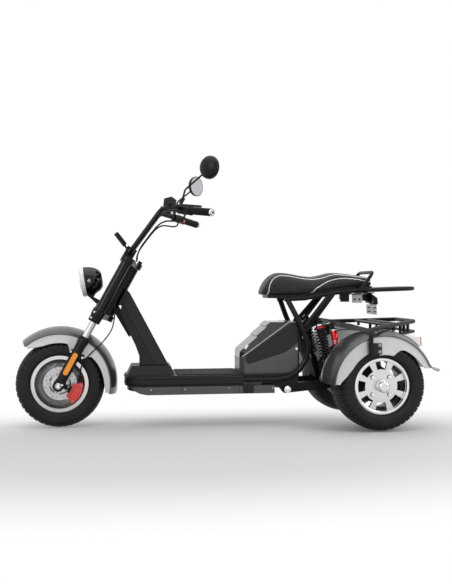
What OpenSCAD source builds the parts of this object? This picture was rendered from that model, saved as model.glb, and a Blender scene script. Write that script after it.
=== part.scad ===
// Three-wheeled electric scooter with a foot deck, a long saddle and two luggage racks.
// +X points to the rear, +Y to the rider's right, +Z up, and the ground is at z = 0.

/* [Overall] */
// Distance from the front axle to the rear axle
wheelbase = 1540; // [1480:1:1620]
// Distance between the middle planes of the two rear wheels
rear_track = 606; // [590:1:660]
// Height of the saddle's highest point above the ground
seat_h = 767; // [740:1:800]
// Lean of the steering axis from upright, in degrees
rake = 28.5; // [27:0.5:30]
// Distance of the front axle ahead of the steering axis
fork_offset = 35; // [30:1:40]

/* [Wheels] */
// Outer radius of every tyre
tyre_r = 217; // [210:1:222]
// Width of every tyre
tyre_w = 222; // [200:1:222]
// Height of the tyre's section above the seat of its beads
tyre_h = 90; // [86:1:96]
// Height of the rim's flanges above the seat of the beads
flange_h = 12.5; // [10:0.5:15]
// Width of a rim over its flanges
rim_w = 172; // [160:1:180]
// Number of windows in a rim's spoke plate
rim_windows = 8; // [6:1:10]
// Outer radius of a wheel hub
hub_r = 38; // [34:1:44]
// Radius of the front axle
axle_r = 8; // [7:0.5:10]
// Radius of the stub axles that carry the rear wheels
stub_r = 13; // [11:0.5:15]
// Radius of the brake disc as a share of the bead seat's radius
disc_share = 0.646; // [0.6:0.002:0.66]
// Thickness of the brake disc
disc_t = 5; // [4:0.5:6]

/* [Fork] */
// Distance of each fork leg from the middle plane
leg_y = 150; // [148:1:158]
// Radius of the fork's lower legs
leg_r = 24; // [20:1:24]
// Radius of the fork's bright inner tubes
stanchion_r = 16.5; // [14:0.5:18]
// Radius of the dark sleeves between the two yokes
sleeve_r = 24; // [22:1:26]
// Height of the lower legs' tops above the axle, along the fork
leg_top = 252; // [240:1:260]
// Height of the lower yoke's underside above the axle, along the fork
low_yoke_z = 380; // [370:1:390]
// Height of the upper yoke's underside above the axle, along the fork
up_yoke_z = 678; // [660:1:690]
// Thickness of each yoke
yoke_t = 30; // [26:1:34]
// Outer radius of the head tube
head_r = 36; // [33:1:38]
// Radius of the steering stem that turns in the head tube
stem_r = 17; // [15:0.5:19]

/* [Handlebar] */
// Radius of the handlebar tube
bar_r = 12.7; // [11:0.1:14]
// Half of the spacing of the two risers at the clamp
riser_y = 75; // [70:1:90]
// Half of the width over the bar's ends
bar_half_w = 352; // [330:1:380]
// Height of the clamped middle of the bar above the upper yoke
bar_lift = 28; // [24:1:34]
// Radius of the rubber grips
grip_r = 17; // [15:0.5:19]
// Length of a rubber grip
grip_l = 128; // [110:1:140]
// Radius of the round mirror heads
mirror_r = 55; // [48:1:60]

/* [Front fender] */
// Half of the width over the fender's crown band
fender_half_w = 122; // [120:1:122]
// Height of the fender's crown above the tyre
fender_crown_h = 64; // [60:1:70]
// Height of the crown band's side edges above the tyre
fender_edge_h = 33; // [29:1:38]
// Thickness of the fender sheet
fender_t = 3; // [2.5:0.5:4]

/* [Deck] */
// Height of the deck's top above the ground
deck_top = 256; // [250:1:262]
// Half of the width of the deck
deck_half_w = 150; // [140:1:155]
// Height of the side skirts' lower edge above the ground
belly_z = 162; // [150:1:175]
// Height of the side skirts' upper edge above the ground
rail_z = 202; // [195:1:208]
// Thickness of the ribbed rubber mat
mat_t = 5; // [3:0.5:8]

/* [Column and frame] */
// Half of the width of the moulded column at its foot
column_half_w = 66; // [56:1:72]
// Radius of the frame loop tubes
loop_r = 14; // [12:0.5:16]
// Distance of the frame loop tubes from the middle plane
loop_y = 136; // [134:1:142]
// Radius of the bends in the frame loop
loop_bend_r = 155; // [140:1:170]
// Radius of the seat struts
strut_r = 11; // [9:0.5:13]
// Radius of the rack tubes
rack_r = 11; // [9:0.5:12]
// Half of the width of the battery box
box_half_w = 118; // [110:1:120]

/* [Rear fenders] */
// Half of the width over a rear fender's crown band
rear_fender_half_w = 124; // [122:1:128]
// Height of a rear fender's crown above the tyre
rear_crown_h = 57; // [52:1:62]
// Height of the rear crown band's side edges above the tyre
rear_edge_h = 29; // [26:1:34]
// Reach of the fender's turned-out tail behind its crown
tail_out = 32; // [28:1:38]

/* [Hidden] */
$fn = 48;

// Gap between pieces that sit on each other
gap = 0.3;
// Radial play of a turning or sliding fit
fit = 0.05;
// How far a cutting shape runs past what it cuts
over = 1;

// Radii about the axles: bead seat, flanges, brake disc and fenders
bead_r = tyre_r - tyre_h;
flange_r = bead_r + flange_h;
disc_r = bead_r * disc_share;
fender_crown_r = tyre_r + fender_crown_h;
fender_edge_r = tyre_r + fender_edge_h;
rear_crown_r = tyre_r + rear_crown_h;
rear_edge_r = tyre_r + rear_edge_h;
tail_reach = rear_crown_r + tail_out;

// Places shared by many pieces: both axles, and the back of the front fender
front_x = (tyre_r - wheelbase - tail_reach) / 2;
rear_x = front_x + wheelbase;
fender_x = front_x + fender_crown_r;

// Length that places ahead of the rear axle are given as shares of
body_l = 1540;
// The deck's height as a share of the saddle's
deck_share = 0.33377;
// Distance along the body, and height: below the deck it follows the deck, and above it the saddle
function along(t) = rear_x - (1 - t) * body_l;
function rise(t) = t < deck_share ? deck_top * t / deck_share
    : mix(deck_top, seat_h, (t - deck_share) / (1 - deck_share));
// A place in the side view, from a share of the body's length and a share of the saddle's height
function side(s) = [along(s[0]), rise(s[1])];
// The same place as a point in space, at a distance y from the middle plane
function spot(s, y) = [side(s)[0], y, side(s)[1]];
// Points of an arc in a plane
function arc(c, r, a0, a1, n) = [for (i = [0:n]) c + r * [cos(a0 + (a1 - a0) * i / n),
    sin(a0 + (a1 - a0) * i / n)]];
function unit(v) = v / norm(v);
function mix(a, b, t) = a + (b - a) * t;

// Places its children in the frame of the steering axis: z runs up the axis from the axle's level
module steered() {
    translate([front_x + fork_offset * cos(rake), 0, tyre_r - fork_offset * sin(rake)])
        rotate([0, rake, 0]) children();
}

// Round bar from point a to point b
module rod(a, b, r) {
    d = b - a;
    translate(a) rotate([0, acos(d.z / norm(d)), atan2(d.y, d.x)]) cylinder(r = r, h = norm(d));
}

// Points along a bent tube: straight stretches joined by arcs of one radius
bend_steps = 5;
function bend_points(a, b, c, bend_r) =
    let (u = unit(b - a), v = unit(c - b), turn = acos(u * v),
         in_way = unit(v - u * cos(turn)), mid = b - u * bend_r * tan(turn / 2) + in_way * bend_r)
    [for (k = [0:bend_steps])
        mid + bend_r * (u * sin(turn * k / bend_steps) - in_way * cos(turn * k / bend_steps))];
function bent_path(p, bend_r) = concat(
    [p[0]], [for (i = [1:len(p) - 2]) each bend_points(p[i - 1], p[i], p[i + 1], bend_r)], [p[len(p) - 1]]);

// Tube swept along points: rings that turn as little as they can from one point to the next
function across(w) = unit(cross(w, abs(w.y) < abs(w.x) + abs(w.z) ? [0, 1, 0] : [1, 0, 0]));
module swept_tube(p, r, sides) {
    n = len(p);
    ways = [for (i = [0:n - 1]) unit(p[min(i + 1, n - 1)] - p[max(i - 1, 0)])];
    outs = [for (i = 0, e = across(ways[0]); i < n;
        e = i + 1 < n ? unit(e - ways[i + 1] * (e * ways[i + 1])) : e, i = i + 1) e];
    rings = [for (i = [0:n - 1], k = [0:sides - 1]) let (f = cross(ways[i], outs[i]), a = k * 360 / sides)
        p[i] + r * (outs[i] * cos(a) + f * sin(a))];
    walls = [for (i = [0:n - 2], k = [0:sides - 1], h = [0, 1])
        let (a = i * sides + k, b = i * sides + (k + 1) % sides)
        h == 0 ? [a, a + sides, b] : [b, a + sides, b + sides]];
    polyhedron(rings, concat(walls, [
        [for (k = [0:sides - 1]) k], [for (k = [sides - 1:-1:0]) (n - 1) * sides + k]
    ]));
}

// Bent metal tube along a list of corner points, with one radius for every bend
bent_sides = 16;
module bent_tube(pts, r, bend_r) swept_tube(bent_path(pts, bend_r), r, bent_sides);
// Straight metal tube between two points
module straight_tube(a, b, r) swept_tube([a, b], r, bent_sides);

// Turns a shape that is drawn about the Z axis so that it lies about the Y axis
module about_y() rotate([90, 0, 0]) children();

// A plate drawn in the side view and centred on the middle plane
module side_plate(w) rotate([90, 0, 0]) linear_extrude(height = w, center = true) children();

// Wheels: a tyre, a rim with a windowed spoke plate and, at the front, a drilled brake disc

// Thickness of a rim's barrel, and of its flanges
rim_t = 5;
flange_t = 6;
// Thickness of the spoke plate
plate_t = 14;
// Where the tyre is widest, as a share of the way from bead to tread
tyre_wide_share = 0.46;
tyre_wide_r = mix(bead_r, tyre_r, tyre_wide_share);
// Exponent that squares the tyre's section, and the angle at which the section ends at its beads
tyre_round = 0.62;
tyre_end_deg = 165;
tyre_steps = 30;
// Inner and outer radius of the rim's windows as shares of the way from hub to barrel
window_shares = [0.5, 0.985];
// Share of each window's pitch that is open
window_open_share = 0.64;

function signed_pow(v, e) = sign(v) * pow(abs(v), e);
function tyre_pt(t) = [
    tyre_wide_r + (cos(t) > 0 ? tyre_r - tyre_wide_r : tyre_wide_r - bead_r) * signed_pow(cos(t), tyre_round),
    tyre_w / 2 * signed_pow(sin(t), tyre_round)
];

// Tyre about the Y axis; its section clears the rim's flanges by a small gap
module tyre() {
    color("#262626") about_y() rotate_extrude($fn = 96) difference() {
        polygon([for (i = [0:tyre_steps]) tyre_pt(-tyre_end_deg + 2 * tyre_end_deg * i / tyre_steps)]);
        for (s = [-1, 1])
            translate([0, s * (rim_w / 2 - flange_t - gap + tyre_w / 2)])
                square([2 * (flange_r + gap), tyre_w], center = true);
    }
}

// Ring of rectangular section about the Y axis, between two radii and two places along Y
module ring(r_in, r_out, y0, y1) {
    translate([0, y1, 0]) about_y() difference() {
        cylinder(r = r_out, h = y1 - y0, $fn = 96);
        translate([0, 0, -over]) cylinder(r = r_in, h = y1 - y0 + 2 * over, $fn = 96);
    }
}

// Sector of a ring about the Y axis; angles run from +X up towards +Z
module sector(r_in, r_out, y0, y1, a0, a1) {
    translate([0, y1, 0]) about_y() rotate([0, 0, a0]) rotate_extrude(angle = a1 - a0, $fn = 96)
        translate([r_in, 0]) square([r_out - r_in, y1 - y0]);
}

// Solid disc about the Y axis between two places along Y
module puck(r, y0, y1) {
    translate([0, y1, 0]) about_y() cylinder(r = r, h = y1 - y0, $fn = 96);
}

// Rim with its spoke plate's middle at plate_y and its hub from hub_y0 to hub_y1
module rim(plate_y, hub_y0, hub_y1) {
    well_r = bead_r - rim_t;
    ring(well_r, bead_r, -rim_w / 2, rim_w / 2);
    for (s = [-1, 1])
        ring(well_r, flange_r, s * (rim_w - flange_t) / 2 - flange_t / 2,
            s * (rim_w - flange_t) / 2 + flange_t / 2);
    difference() {
        puck(well_r + rim_t / 2, plate_y - plate_t / 2, plate_y + plate_t / 2);
        for (i = [0:rim_windows - 1])
            sector(mix(hub_r, well_r, window_shares[0]), mix(hub_r, well_r, window_shares[1]),
                plate_y - plate_t, plate_y + plate_t,
                (i - window_open_share / 2) * 360 / rim_windows,
                    (i + window_open_share / 2) * 360 / rim_windows);
    }
    puck(hub_r, hub_y0, hub_y1);
}

// Half of the length of the front hub, and the place of the front spoke plate
front_hub_half = 76;
front_plate_y = 6;
// Place of the brake disc's middle, on the left of the wheel
disc_y = -66;
// Inner radius of the disc's braking band as a share of its outer radius
disc_band_share = 0.66;
disc_holes = 24;
disc_hole_r = 3;
disc_arms = 5;
disc_arm_open_share = 0.62;

module at_front() translate([front_x, 0, tyre_r]) children();

module front_tyre() at_front() tyre();

module front_rim() {
    color("silver") at_front() difference() {
        rim(front_plate_y, -front_hub_half, front_hub_half);
        puck(axle_r + fit, -front_hub_half - over, front_hub_half + over);
    }
}

module brake_disc() {
    band_r = disc_r * disc_band_share;
    hole_ring_r = (band_r + disc_r) / 2;
    hole_step_r = (disc_r - band_r) / 5;
    color("lightgray") at_front() difference() {
        puck(disc_r, disc_y - disc_t / 2, disc_y + disc_t / 2);
        puck(hub_r + gap, disc_y - disc_t, disc_y + disc_t);
        for (i = [0:disc_arms - 1])
            sector(mix(hub_r, band_r, 1 / 2), band_r, disc_y - disc_t, disc_y + disc_t,
                (i - disc_arm_open_share / 2) * 360 / disc_arms,
                    (i + disc_arm_open_share / 2) * 360 / disc_arms);
        for (i = [0:disc_holes - 1])
            rotate([0, i * 360 / disc_holes, 0])
                translate([hole_ring_r + (i % 3 - 1) * hole_step_r, 0, 0])
                    puck(disc_hole_r, disc_y - disc_t, disc_y + disc_t);
    }
}

// Fork ends: the lug that holds the axle, and how far it stands in and out of the leg
lug_r = 27;
lug_in_y = 102;
lug_out_y = leg_y + leg_r + gap;
// Radius of the spacers on the axle, and the play between spacer and hub
spacer_r = 15;
spacer_play = 1;
// Radius and height of the axle nut
nut_r = 14;
nut_h = 9;

module front_axle() {
    color("silver") at_front() {
        puck(axle_r, -lug_out_y - nut_h, lug_out_y + nut_h);
        for (s = [-1, 1]) {
            mid = s * (front_hub_half + spacer_play + lug_in_y - gap) / 2;
            half = (lug_in_y - gap - front_hub_half - spacer_play) / 2;
            if (s > 0) puck(spacer_r, mid - half, mid + half);
            nut_mid = s * (lug_out_y + gap + nut_h / 2);
            puck(nut_r, nut_mid - nut_h / 2, nut_mid + nut_h / 2);
        }
    }
}

// Rear wheels: the spoke plate sits near the outer face, and a bright cap covers the hub
rear_plate_y = 62;
rear_hub_in = 46;
rear_hub_out = 72;
// End of the stub axle and of the hole for it, out from the wheel's middle plane
stub_out = 56;
stub_hole_out = 62;
// Hub cap: how far out it reaches, its radius and its rounded edge
cap_out = 120;
cap_r = 27;
cap_edge = 8;
// Wheel bolts around the hub cap
wheel_bolts = 4;
wheel_bolt_r = 7;
wheel_bolt_h = 9;
wheel_bolt_ring_share = 0.24;

// Wheel parts on the side s: -1 is the rider's left, 1 the right
module at_rear(s) translate([rear_x, s * rear_track / 2, tyre_r]) children();

module rear_rim(s) {
    bolt_ring_r = mix(hub_r, bead_r, wheel_bolt_ring_share);
    plate_out = rear_plate_y + plate_t / 2;
    color("gainsboro") at_rear(s) mirror([0, s < 0 ? 1 : 0, 0]) difference() {
        union() {
            rim(rear_plate_y, -rear_hub_in, rear_hub_out);
            translate([0, rear_hub_out, 0]) rotate([-90, 0, 0]) rotate_extrude($fn = 96) polygon(concat(
                [[0, -over], [cap_r, -over]],
                arc([cap_r - cap_edge, cap_out - rear_hub_out - cap_edge], cap_edge, 0, 90, 6),
                [[0, cap_out - rear_hub_out]]));
            for (i = [0:wheel_bolts - 1])
                rotate([0, (i + 1 / 2) * 360 / wheel_bolts, 0]) translate([bolt_ring_r, 0, 0])
                    puck(wheel_bolt_r, plate_out - over, plate_out + wheel_bolt_h);
        }
        puck(stub_r + fit, -rear_hub_in - over, stub_hole_out);
    }
}

module rear_left_tyre() at_rear(-1) tyre();
module rear_right_tyre() at_rear(1) tyre();
module rear_left_rim() rear_rim(-1);
module rear_right_rim() rear_rim(1);

// Fork, yokes and stem, drawn in the frame of the steering axis

// Depth of the inner tubes in the legs, and the height and radius of the seal collars
stanchion_low = 130;
collar_h = 22;
collar_r = 27;
// Lug on each leg's inner side that the front fender is screwed to
tongue_share = 0.68;
tongue_z = fender_edge_r * tongue_share;
tongue_lug = [70, 12, 28];
tongue_lug_x = 5;
// Clamps of the lower yoke around the inner tubes
clamp_r = 30;
clamp_h = 62;
// Round ends and middle of both yokes
yoke_end_r = 32;
yoke_mid_r = 44;
// Front of the yokes, ahead of the steering axis
yoke_front = 70;
// Play between the head tube's ends and the yokes
head_play = 1.5;
// Key switch on the upper yoke
key_r = 11;
key_h = 14;
key_x = 18;

low_yoke_top = low_yoke_z + yoke_t;
up_yoke_top = up_yoke_z + yoke_t;
// Distance of the fender skirts from the tyre
skirt_room = 5;
skirt_y = tyre_w / 2 + skirt_room;

module fork_legs() {
    color("#2b2b2b") steered() for (s = [-1, 1]) translate([-fork_offset, s * leg_y, 0]) difference() {
        union() {
            cylinder(r = leg_r, h = leg_top);
            translate([0, 0, leg_top - collar_h]) cylinder(r = collar_r, h = collar_h);
            translate([0, -s * leg_y, 0])
                puck(lug_r, s > 0 ? lug_in_y : -lug_out_y, s > 0 ? lug_out_y : -lug_in_y);
            translate([tongue_lug_x, -s * (leg_y - skirt_y - fender_t - gap - tongue_lug.y / 2), tongue_z])
                cube(tongue_lug, center = true);
        }
        puck(axle_r + fit, -lug_out_y, lug_out_y);
        translate([0, 0, stanchion_low]) cylinder(r = stanchion_r + fit, h = leg_top);
    }
}

module stanchions() {
    color("silver") steered() for (s = [-1, 1]) translate([-fork_offset, s * leg_y, 0]) {
        translate([0, 0, stanchion_low + gap])
            cylinder(r = stanchion_r, h = up_yoke_top - stanchion_low - gap);
        translate([0, 0, low_yoke_top + gap]) cylinder(r = sleeve_r, h = up_yoke_z - low_yoke_top - 2 * gap);
    }
}

// Plan of a yoke: two ends around the fork tubes, a round middle and the web between them
module yoke_plan() {
    for (s = [-1, 1]) translate([-fork_offset, s * leg_y]) circle(yoke_end_r);
    circle(yoke_mid_r);
    polygon([
        [-yoke_front, -leg_y / 2], [-fork_offset - yoke_end_r, -leg_y], [-fork_offset + yoke_end_r, -leg_y],
        [yoke_mid_r / 2, -yoke_mid_r], [yoke_mid_r / 2, yoke_mid_r],
        [-fork_offset + yoke_end_r, leg_y], [-fork_offset - yoke_end_r, leg_y], [-yoke_front, leg_y / 2]
    ]);
}

module yoke(z) {
    difference() {
        union() {
            translate([0, 0, z]) linear_extrude(height = yoke_t) yoke_plan();
            children();
        }
        for (s = [-1, 1]) translate([-fork_offset, s * leg_y, 0])
            cylinder(r = stanchion_r + fit, h = 2 * up_yoke_top);
        cylinder(r = stem_r + fit, h = 2 * up_yoke_top);
    }
}

module lower_yoke() {
    color("#333333") steered() yoke(low_yoke_z)
        for (s = [-1, 1]) translate([-fork_offset, s * leg_y, low_yoke_z - clamp_h / 2])
            cylinder(r = clamp_r, h = clamp_h / 2 + over);
}

module upper_yoke() {
    color("#333333") steered() {
        yoke(up_yoke_z);
        translate([yoke_mid_r - key_x, 0, up_yoke_top - over]) cylinder(r = key_r, h = key_h + over);
    }
}

module steering_stem() {
    color("gray") steered() translate([0, 0, low_yoke_z])
        cylinder(r = stem_r, h = up_yoke_top - low_yoke_z - over);
}

// Handlebar: a bar clamped on the upper yoke, two risers and two swept-back ends

// Place of the clamped bar ahead of the steering axis
bar_x = 43;
bar_z = up_yoke_top + bar_lift;
// Knees at the top of the risers, and the bar's ends
knee_x = -8;
knee_y = 118;
knee_z = 1000;
bar_end_x = 200;
bar_end_z = 1068;
bar_bend_r = 38;
// Half of the length, the width and the thickness over the bar of the clamp
clamp_half_y = 34;
clamp_half_x = 26;
clamp_over = 26;

function bar_knee(s) = [knee_x, s * knee_y, knee_z];
function bar_end(s) = [bar_end_x, s * bar_half_w, bar_end_z];
// Direction along a bar end, and the way that points ahead of it
function bar_way(s) = unit(bar_end(s) - bar_knee(s));
function bar_ahead(s) = unit([-bar_way(s).y * s, bar_way(s).x * s, 0]);
// A place on the bar, at a distance d back from its end
function bar_at(s, d) = bar_end(s) - bar_way(s) * d;

module bar_clamp() {
    color("#2b2b2b") steered() difference() {
        translate([-bar_x - clamp_half_x, -clamp_half_y, up_yoke_top + gap])
            cube([2 * clamp_half_x, 2 * clamp_half_y, bar_lift + clamp_over - gap]);
        translate([-bar_x, 0, bar_z]) puck(bar_r + fit, -clamp_half_y - over, clamp_half_y + over);
    }
}

module handlebar() {
    color("#1f1f1f") steered() bent_tube([
        bar_end(-1), bar_knee(-1), [-bar_x, -riser_y, bar_z], [-bar_x, riser_y, bar_z], bar_knee(1),
            bar_end(1)
    ], bar_r, bar_bend_r);
}

// Bright caps on the bar's ends
bar_cap_r = 15;
bar_cap_l = 14;

module grips() {
    color("#242424") steered() for (s = [-1, 1]) difference() {
        union() {
            rod(bar_at(s, grip_l), bar_at(s, -gap), grip_r);
            rod(bar_at(s, gap), bar_at(s, -bar_cap_l), bar_cap_r);
        }
        rod(bar_at(s, grip_l + over), bar_at(s, -gap), bar_r + fit);
    }
}

// Switch housings, brake cylinders and levers
switch_r = 22;
switch_l = 46;
band_share = 0.9;
cyl_r = 15;
cyl_l = 62;
cyl_ahead = 32;
reservoir = [46, 40, 40];
lever_r = 5.5;
lever_ahead = 62;
lever_tip = 12;
lever_bend_r = 18;
// Distances back from the bar's end of the switch housing, the brake cylinder and its fluid box
switch_back = grip_l + gap;
cyl_gap = 6;
cyl_back = switch_back + switch_l + cyl_gap;
box_back = cyl_back + cyl_l;

module bar_controls() {
    color("#1c1c1c") steered() for (s = [-1, 1]) difference() {
        u = bar_way(s);
        f = bar_ahead(s);
        pivot = bar_at(s, switch_back + switch_l) + f * cyl_ahead;
        union() {
            rod(bar_at(s, switch_back + switch_l), bar_at(s, switch_back), switch_r);
            rod(bar_at(s, cyl_back + switch_l / 2), bar_at(s, switch_back + switch_l - over),
                switch_r * band_share);
            rod(bar_at(s, cyl_back), bar_at(s, cyl_back) + f * cyl_ahead, cyl_r);
            rod(bar_at(s, box_back) + f * cyl_ahead, pivot, cyl_r);
            translate(bar_at(s, box_back) + f * cyl_ahead) rotate([0, -rake, atan2(u.y, u.x)])
                translate([0, 0, reservoir.z / 2]) cube(reservoir, center = true);
            bent_tube([pivot - u * cyl_r / 2, pivot + f * (lever_ahead - cyl_ahead) + u * cyl_l / 2,
                bar_at(s, lever_tip) + f * lever_ahead], lever_r, lever_bend_r);
        }
        rod(bar_at(s, box_back + cyl_l), bar_at(s, 0), bar_r + fit);
    }
}

// Mirrors: a rubber boot on the brake cylinder, a bent stem and a round head with its glass
boot_r = 9;
boot_h = 34;
boot_lift = 2.6;
stem_wire_r = 4.5;
stem_bend_r = 26;
mirror_depth = 36;
mirror_lip = 7;
glass_t = 3;
glass_inset = 4;
mirror_turn_deg = 44;
// Place of a mirror's stem bend and of its head, from the middle plane and the axle's level
mirror_bend_x = 46;
mirror_bend_y = 258;
mirror_bend_z = 1116;
mirror_x = 99;
mirror_y = 335;
mirror_z = 1255;

function mirror_foot(s) = bar_at(s, cyl_back) + bar_ahead(s) * cyl_ahead + [0, 0, cyl_r + boot_lift];

// Turns a shape that faces +X so that it faces the rider's eyes from the mirror's head on side s
module at_mirror(s) {
    translate([mirror_x, s * mirror_y, mirror_z]) rotate([0, -rake, 0]) rotate([0, 0, -s * mirror_turn_deg])
        rotate([0, 90, 0]) children();
}

module mirrors() {
    color("#191919") steered() for (s = [-1, 1]) {
        foot = mirror_foot(s);
        bend = [mirror_bend_x, s * mirror_bend_y, mirror_bend_z];
        head = [mirror_x, s * mirror_y, mirror_z];
        rod(foot, foot + [0, 0, boot_h], boot_r);
        difference() {
            union() {
                bent_tube([foot + [0, 0, boot_h / 2], bend, head], stem_wire_r, stem_bend_r);
                at_mirror(s) rotate_extrude() polygon(concat(
                    [[0, 0], [mirror_r, 0]],
                    [for (i = [0:7]) [mirror_r * cos(i * 90 / 8),
                        -mirror_lip - (mirror_depth - mirror_lip) * sin(i * 90 / 8)]],
                    [[0, -mirror_depth]]));
            }
            at_mirror(s) translate([0, 0, -glass_t - gap])
                cylinder(r = mirror_r - glass_inset + gap, h = mirror_depth);
        }
    }
}

module mirror_glasses() {
    color("lightsteelblue") steered() for (s = [-1, 1])
        at_mirror(s) translate([0, 0, -glass_t]) cylinder(r = mirror_r - glass_inset, h = glass_t);
}

// Display on its stalk, and the headlamp with its lens and bracket

// Display: length, width, thickness, place ahead of and above the axle, slope and stalk
display_size = [76, 98, 20];
display_x = 118;
display_z = 772;
display_slope_deg = 24;
display_edge_r = 9;
stalk_r = 5;

module display() {
    color("#1a1a1a") steered() {
        translate([-display_x, 0, display_z]) rotate([0, display_slope_deg, 0])
            translate([0, 0, -display_size.z / 2]) linear_extrude(height = display_size.z) {
                square([display_size.x - 2 * display_edge_r, display_size.y], center = true);
                square([display_size.x, display_size.y - 2 * display_edge_r], center = true);
                for (i = [-1, 1], j = [-1, 1])
                    translate([i * (display_size.x / 2 - display_edge_r),
                        j * (display_size.y / 2 - display_edge_r)])
                        circle(display_edge_r);
            }
        difference() {
            rod([-display_x, 0, display_z], [-bar_x, 0, bar_z], stalk_r);
            translate([-bar_x - clamp_half_x - gap, -clamp_half_y, 0])
                cube([2 * clamp_half_x + 2 * gap, 2 * clamp_half_y, 2 * bar_z]);
        }
    }
}

// Headlamp: radius of its rim, depth, depth of the rim, tilt and place from the steering axis
lamp_r = 73.5;
lamp_depth = 104;
lamp_rim_depth = 20;
lamp_tail_r = 24;
lamp_tilt_deg = 9;
lamp_x = 143;
lamp_z = 521;
// Lens: radius, thickness at its edge, and how far it bulges
lens_r = 66;
lens_t = 8;
lens_bulge = 9;

// Turns a shape so that its z runs from the lamp's face backwards
module at_lamp() {
    translate([-lamp_x, 0, lamp_z]) rotate([0, 90 - rake - lamp_tilt_deg, 0])
        translate([0, 0, -lamp_depth / 2]) children();
}

// The lamp's bowl, grown by an extra radius
module lamp_bowl(extra) {
    rotate_extrude() polygon(concat(
        [[0, -extra], [lamp_r + extra, -extra], [lamp_r + extra, lamp_rim_depth]],
        [for (i = [1:8]) [
            lamp_tail_r + (lamp_r - lamp_tail_r) * cos(i * 90 / 8) + extra,
            lamp_rim_depth + (lamp_depth - lamp_rim_depth) * sin(i * 90 / 8) + extra * i / 8
        ]],
        [[0, lamp_depth + extra]]));
}

module headlamp() {
    color("#151515") steered() at_lamp() difference() {
        lamp_bowl(0);
        translate([0, 0, -over]) cylinder(r = lens_r + gap, h = lens_t + gap + over);
    }
}

module headlamp_lens() {
    color("whitesmoke") steered() at_lamp() rotate_extrude() polygon(concat(
        [[0, lens_t], [lens_r, lens_t]],
        [for (i = [0:7]) [lens_r * cos(i * 90 / 8), -lens_bulge * sin(i * 90 / 8)]], [[0, -lens_bulge]]));
}

// Bracket: foot on the lower yoke, arm and tab under the lamp, in the side view of the steering axis
lamp_arm_half_w = 15;
lamp_foot = [22, 44];
lamp_arm_z = 26;
lamp_arm_reach = 112;
lamp_tab_t = 16;

module headlamp_bracket() {
    z0 = low_yoke_top + gap;
    color("#202020") steered() difference() {
        side_plate(2 * lamp_arm_half_w) polygon([
            [-lamp_foot[1] - lamp_foot[0], z0], [-lamp_foot[1], z0],
            [-lamp_foot[1], z0 + lamp_arm_z + lamp_tab_t], [-lamp_arm_reach + lamp_tab_t,
                z0 + lamp_arm_z + lamp_tab_t],
            [-lamp_arm_reach + lamp_tab_t, lamp_z - lamp_r / 2], [-lamp_arm_reach - lamp_tab_t,
                lamp_z - lamp_r / 2],
            [-lamp_arm_reach - lamp_tab_t, z0 + lamp_arm_z + lamp_tab_t / 2],
            [-lamp_foot[1] - lamp_foot[0], z0 + lamp_arm_z - lamp_tab_t / 2]
        ]);
        at_lamp() lamp_bowl(gap);
    }
}

// Fenders: a crowned band over the tyre and skirts down both of its sides

band_steps = 12;
// Radius of the band's outer face at a distance y from its middle
function band_r(half_w, edge_r, crown_r, y) =
    let (h = crown_r - edge_r, big_r = (half_w * half_w + h * h) / (2 * h))
    crown_r - big_r + sqrt(big_r * big_r - y * y);

// Band from angle a0 to a1, with skirts from a table of [angle, inner edge as a share of edge_r]
module fender(half_w, edge_r, crown_r, a0, a1, skirt_shares) {
    ys = [for (i = [0:band_steps]) half_w * (2 * i / band_steps - 1)];
    about_y() rotate([0, 0, a0]) rotate_extrude(angle = a1 - a0, $fn = 96) polygon(concat(
        [for (y = ys) [band_r(half_w, edge_r, crown_r, y), y]],
        [for (i = [band_steps:-1:0]) [band_r(half_w, edge_r, crown_r, ys[i]) - fender_t, ys[i]]]));
    skirt_r = band_r(half_w, edge_r, crown_r, skirt_y + fender_t / 2) - fender_t / 2;
    for (s = [-1, 1]) translate([0, s * (skirt_y + fender_t / 2), 0]) side_plate(fender_t)
        skirt_outline(skirt_r, edge_r, skirt_shares);
}

// Skirt in the side view, about the axle
skirt_steps = 36;
skirt_row_steps = 5;
function polar(r, a) = r * [cos(a), sin(a)];
module skirt_outline(r_out, edge_r, rows) {
    last = len(rows) - 1;
    polygon(concat(
        [for (i = [0:skirt_steps]) polar(r_out, mix(rows[0][0], rows[last][0], i / skirt_steps))],
        [polar(edge_r * rows[last][1], rows[last][0])],
        [for (i = [last - 1:-1:0], k = [skirt_row_steps - 1:-1:0]) let (t = k / skirt_row_steps)
            polar(edge_r * mix(rows[i][1], rows[i + 1][1], t), mix(rows[i][0], rows[i + 1][0], t))]));
}

// Front fender's ends, and its skirts with the tongues beside the fork legs
front_fender_deg = [-11.5, 131];
front_skirt_shares = [
    [-11, 0.904], [0, 0.868], [25, 0.84], [42, 0.816], [48, 0.648], [72, 0.648], [78, 0.812], [112, 0.812],
    [121, 0.848], [130.5, 0.928]
];

module front_fender() {
    color("#8d8f92") at_front()
        fender(fender_half_w, fender_edge_r, fender_crown_r, front_fender_deg[0], front_fender_deg[1],
            front_skirt_shares);
}

// Brake caliper: radii as shares of the disc's, span about the axle, cheeks and bracket
caliper_shares = [0.8, 1.39, 1.3];
caliper_half_deg = 30;
caliper_cheek = 14;
caliper_room = 5;
bracket_t = 9;
bracket_ring_r = 30;
bracket_half_deg = 17;

// Plate about the axle between two radii and two angles, in the side view
caliper_steps = 8;
module arc_plate(r_in, r_out, a0, a1) {
    polygon(concat(
        arc([0, 0], r_in, a0, a1, caliper_steps),
        arc([0, 0], r_out, a1, a0, caliper_steps)));
}

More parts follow.
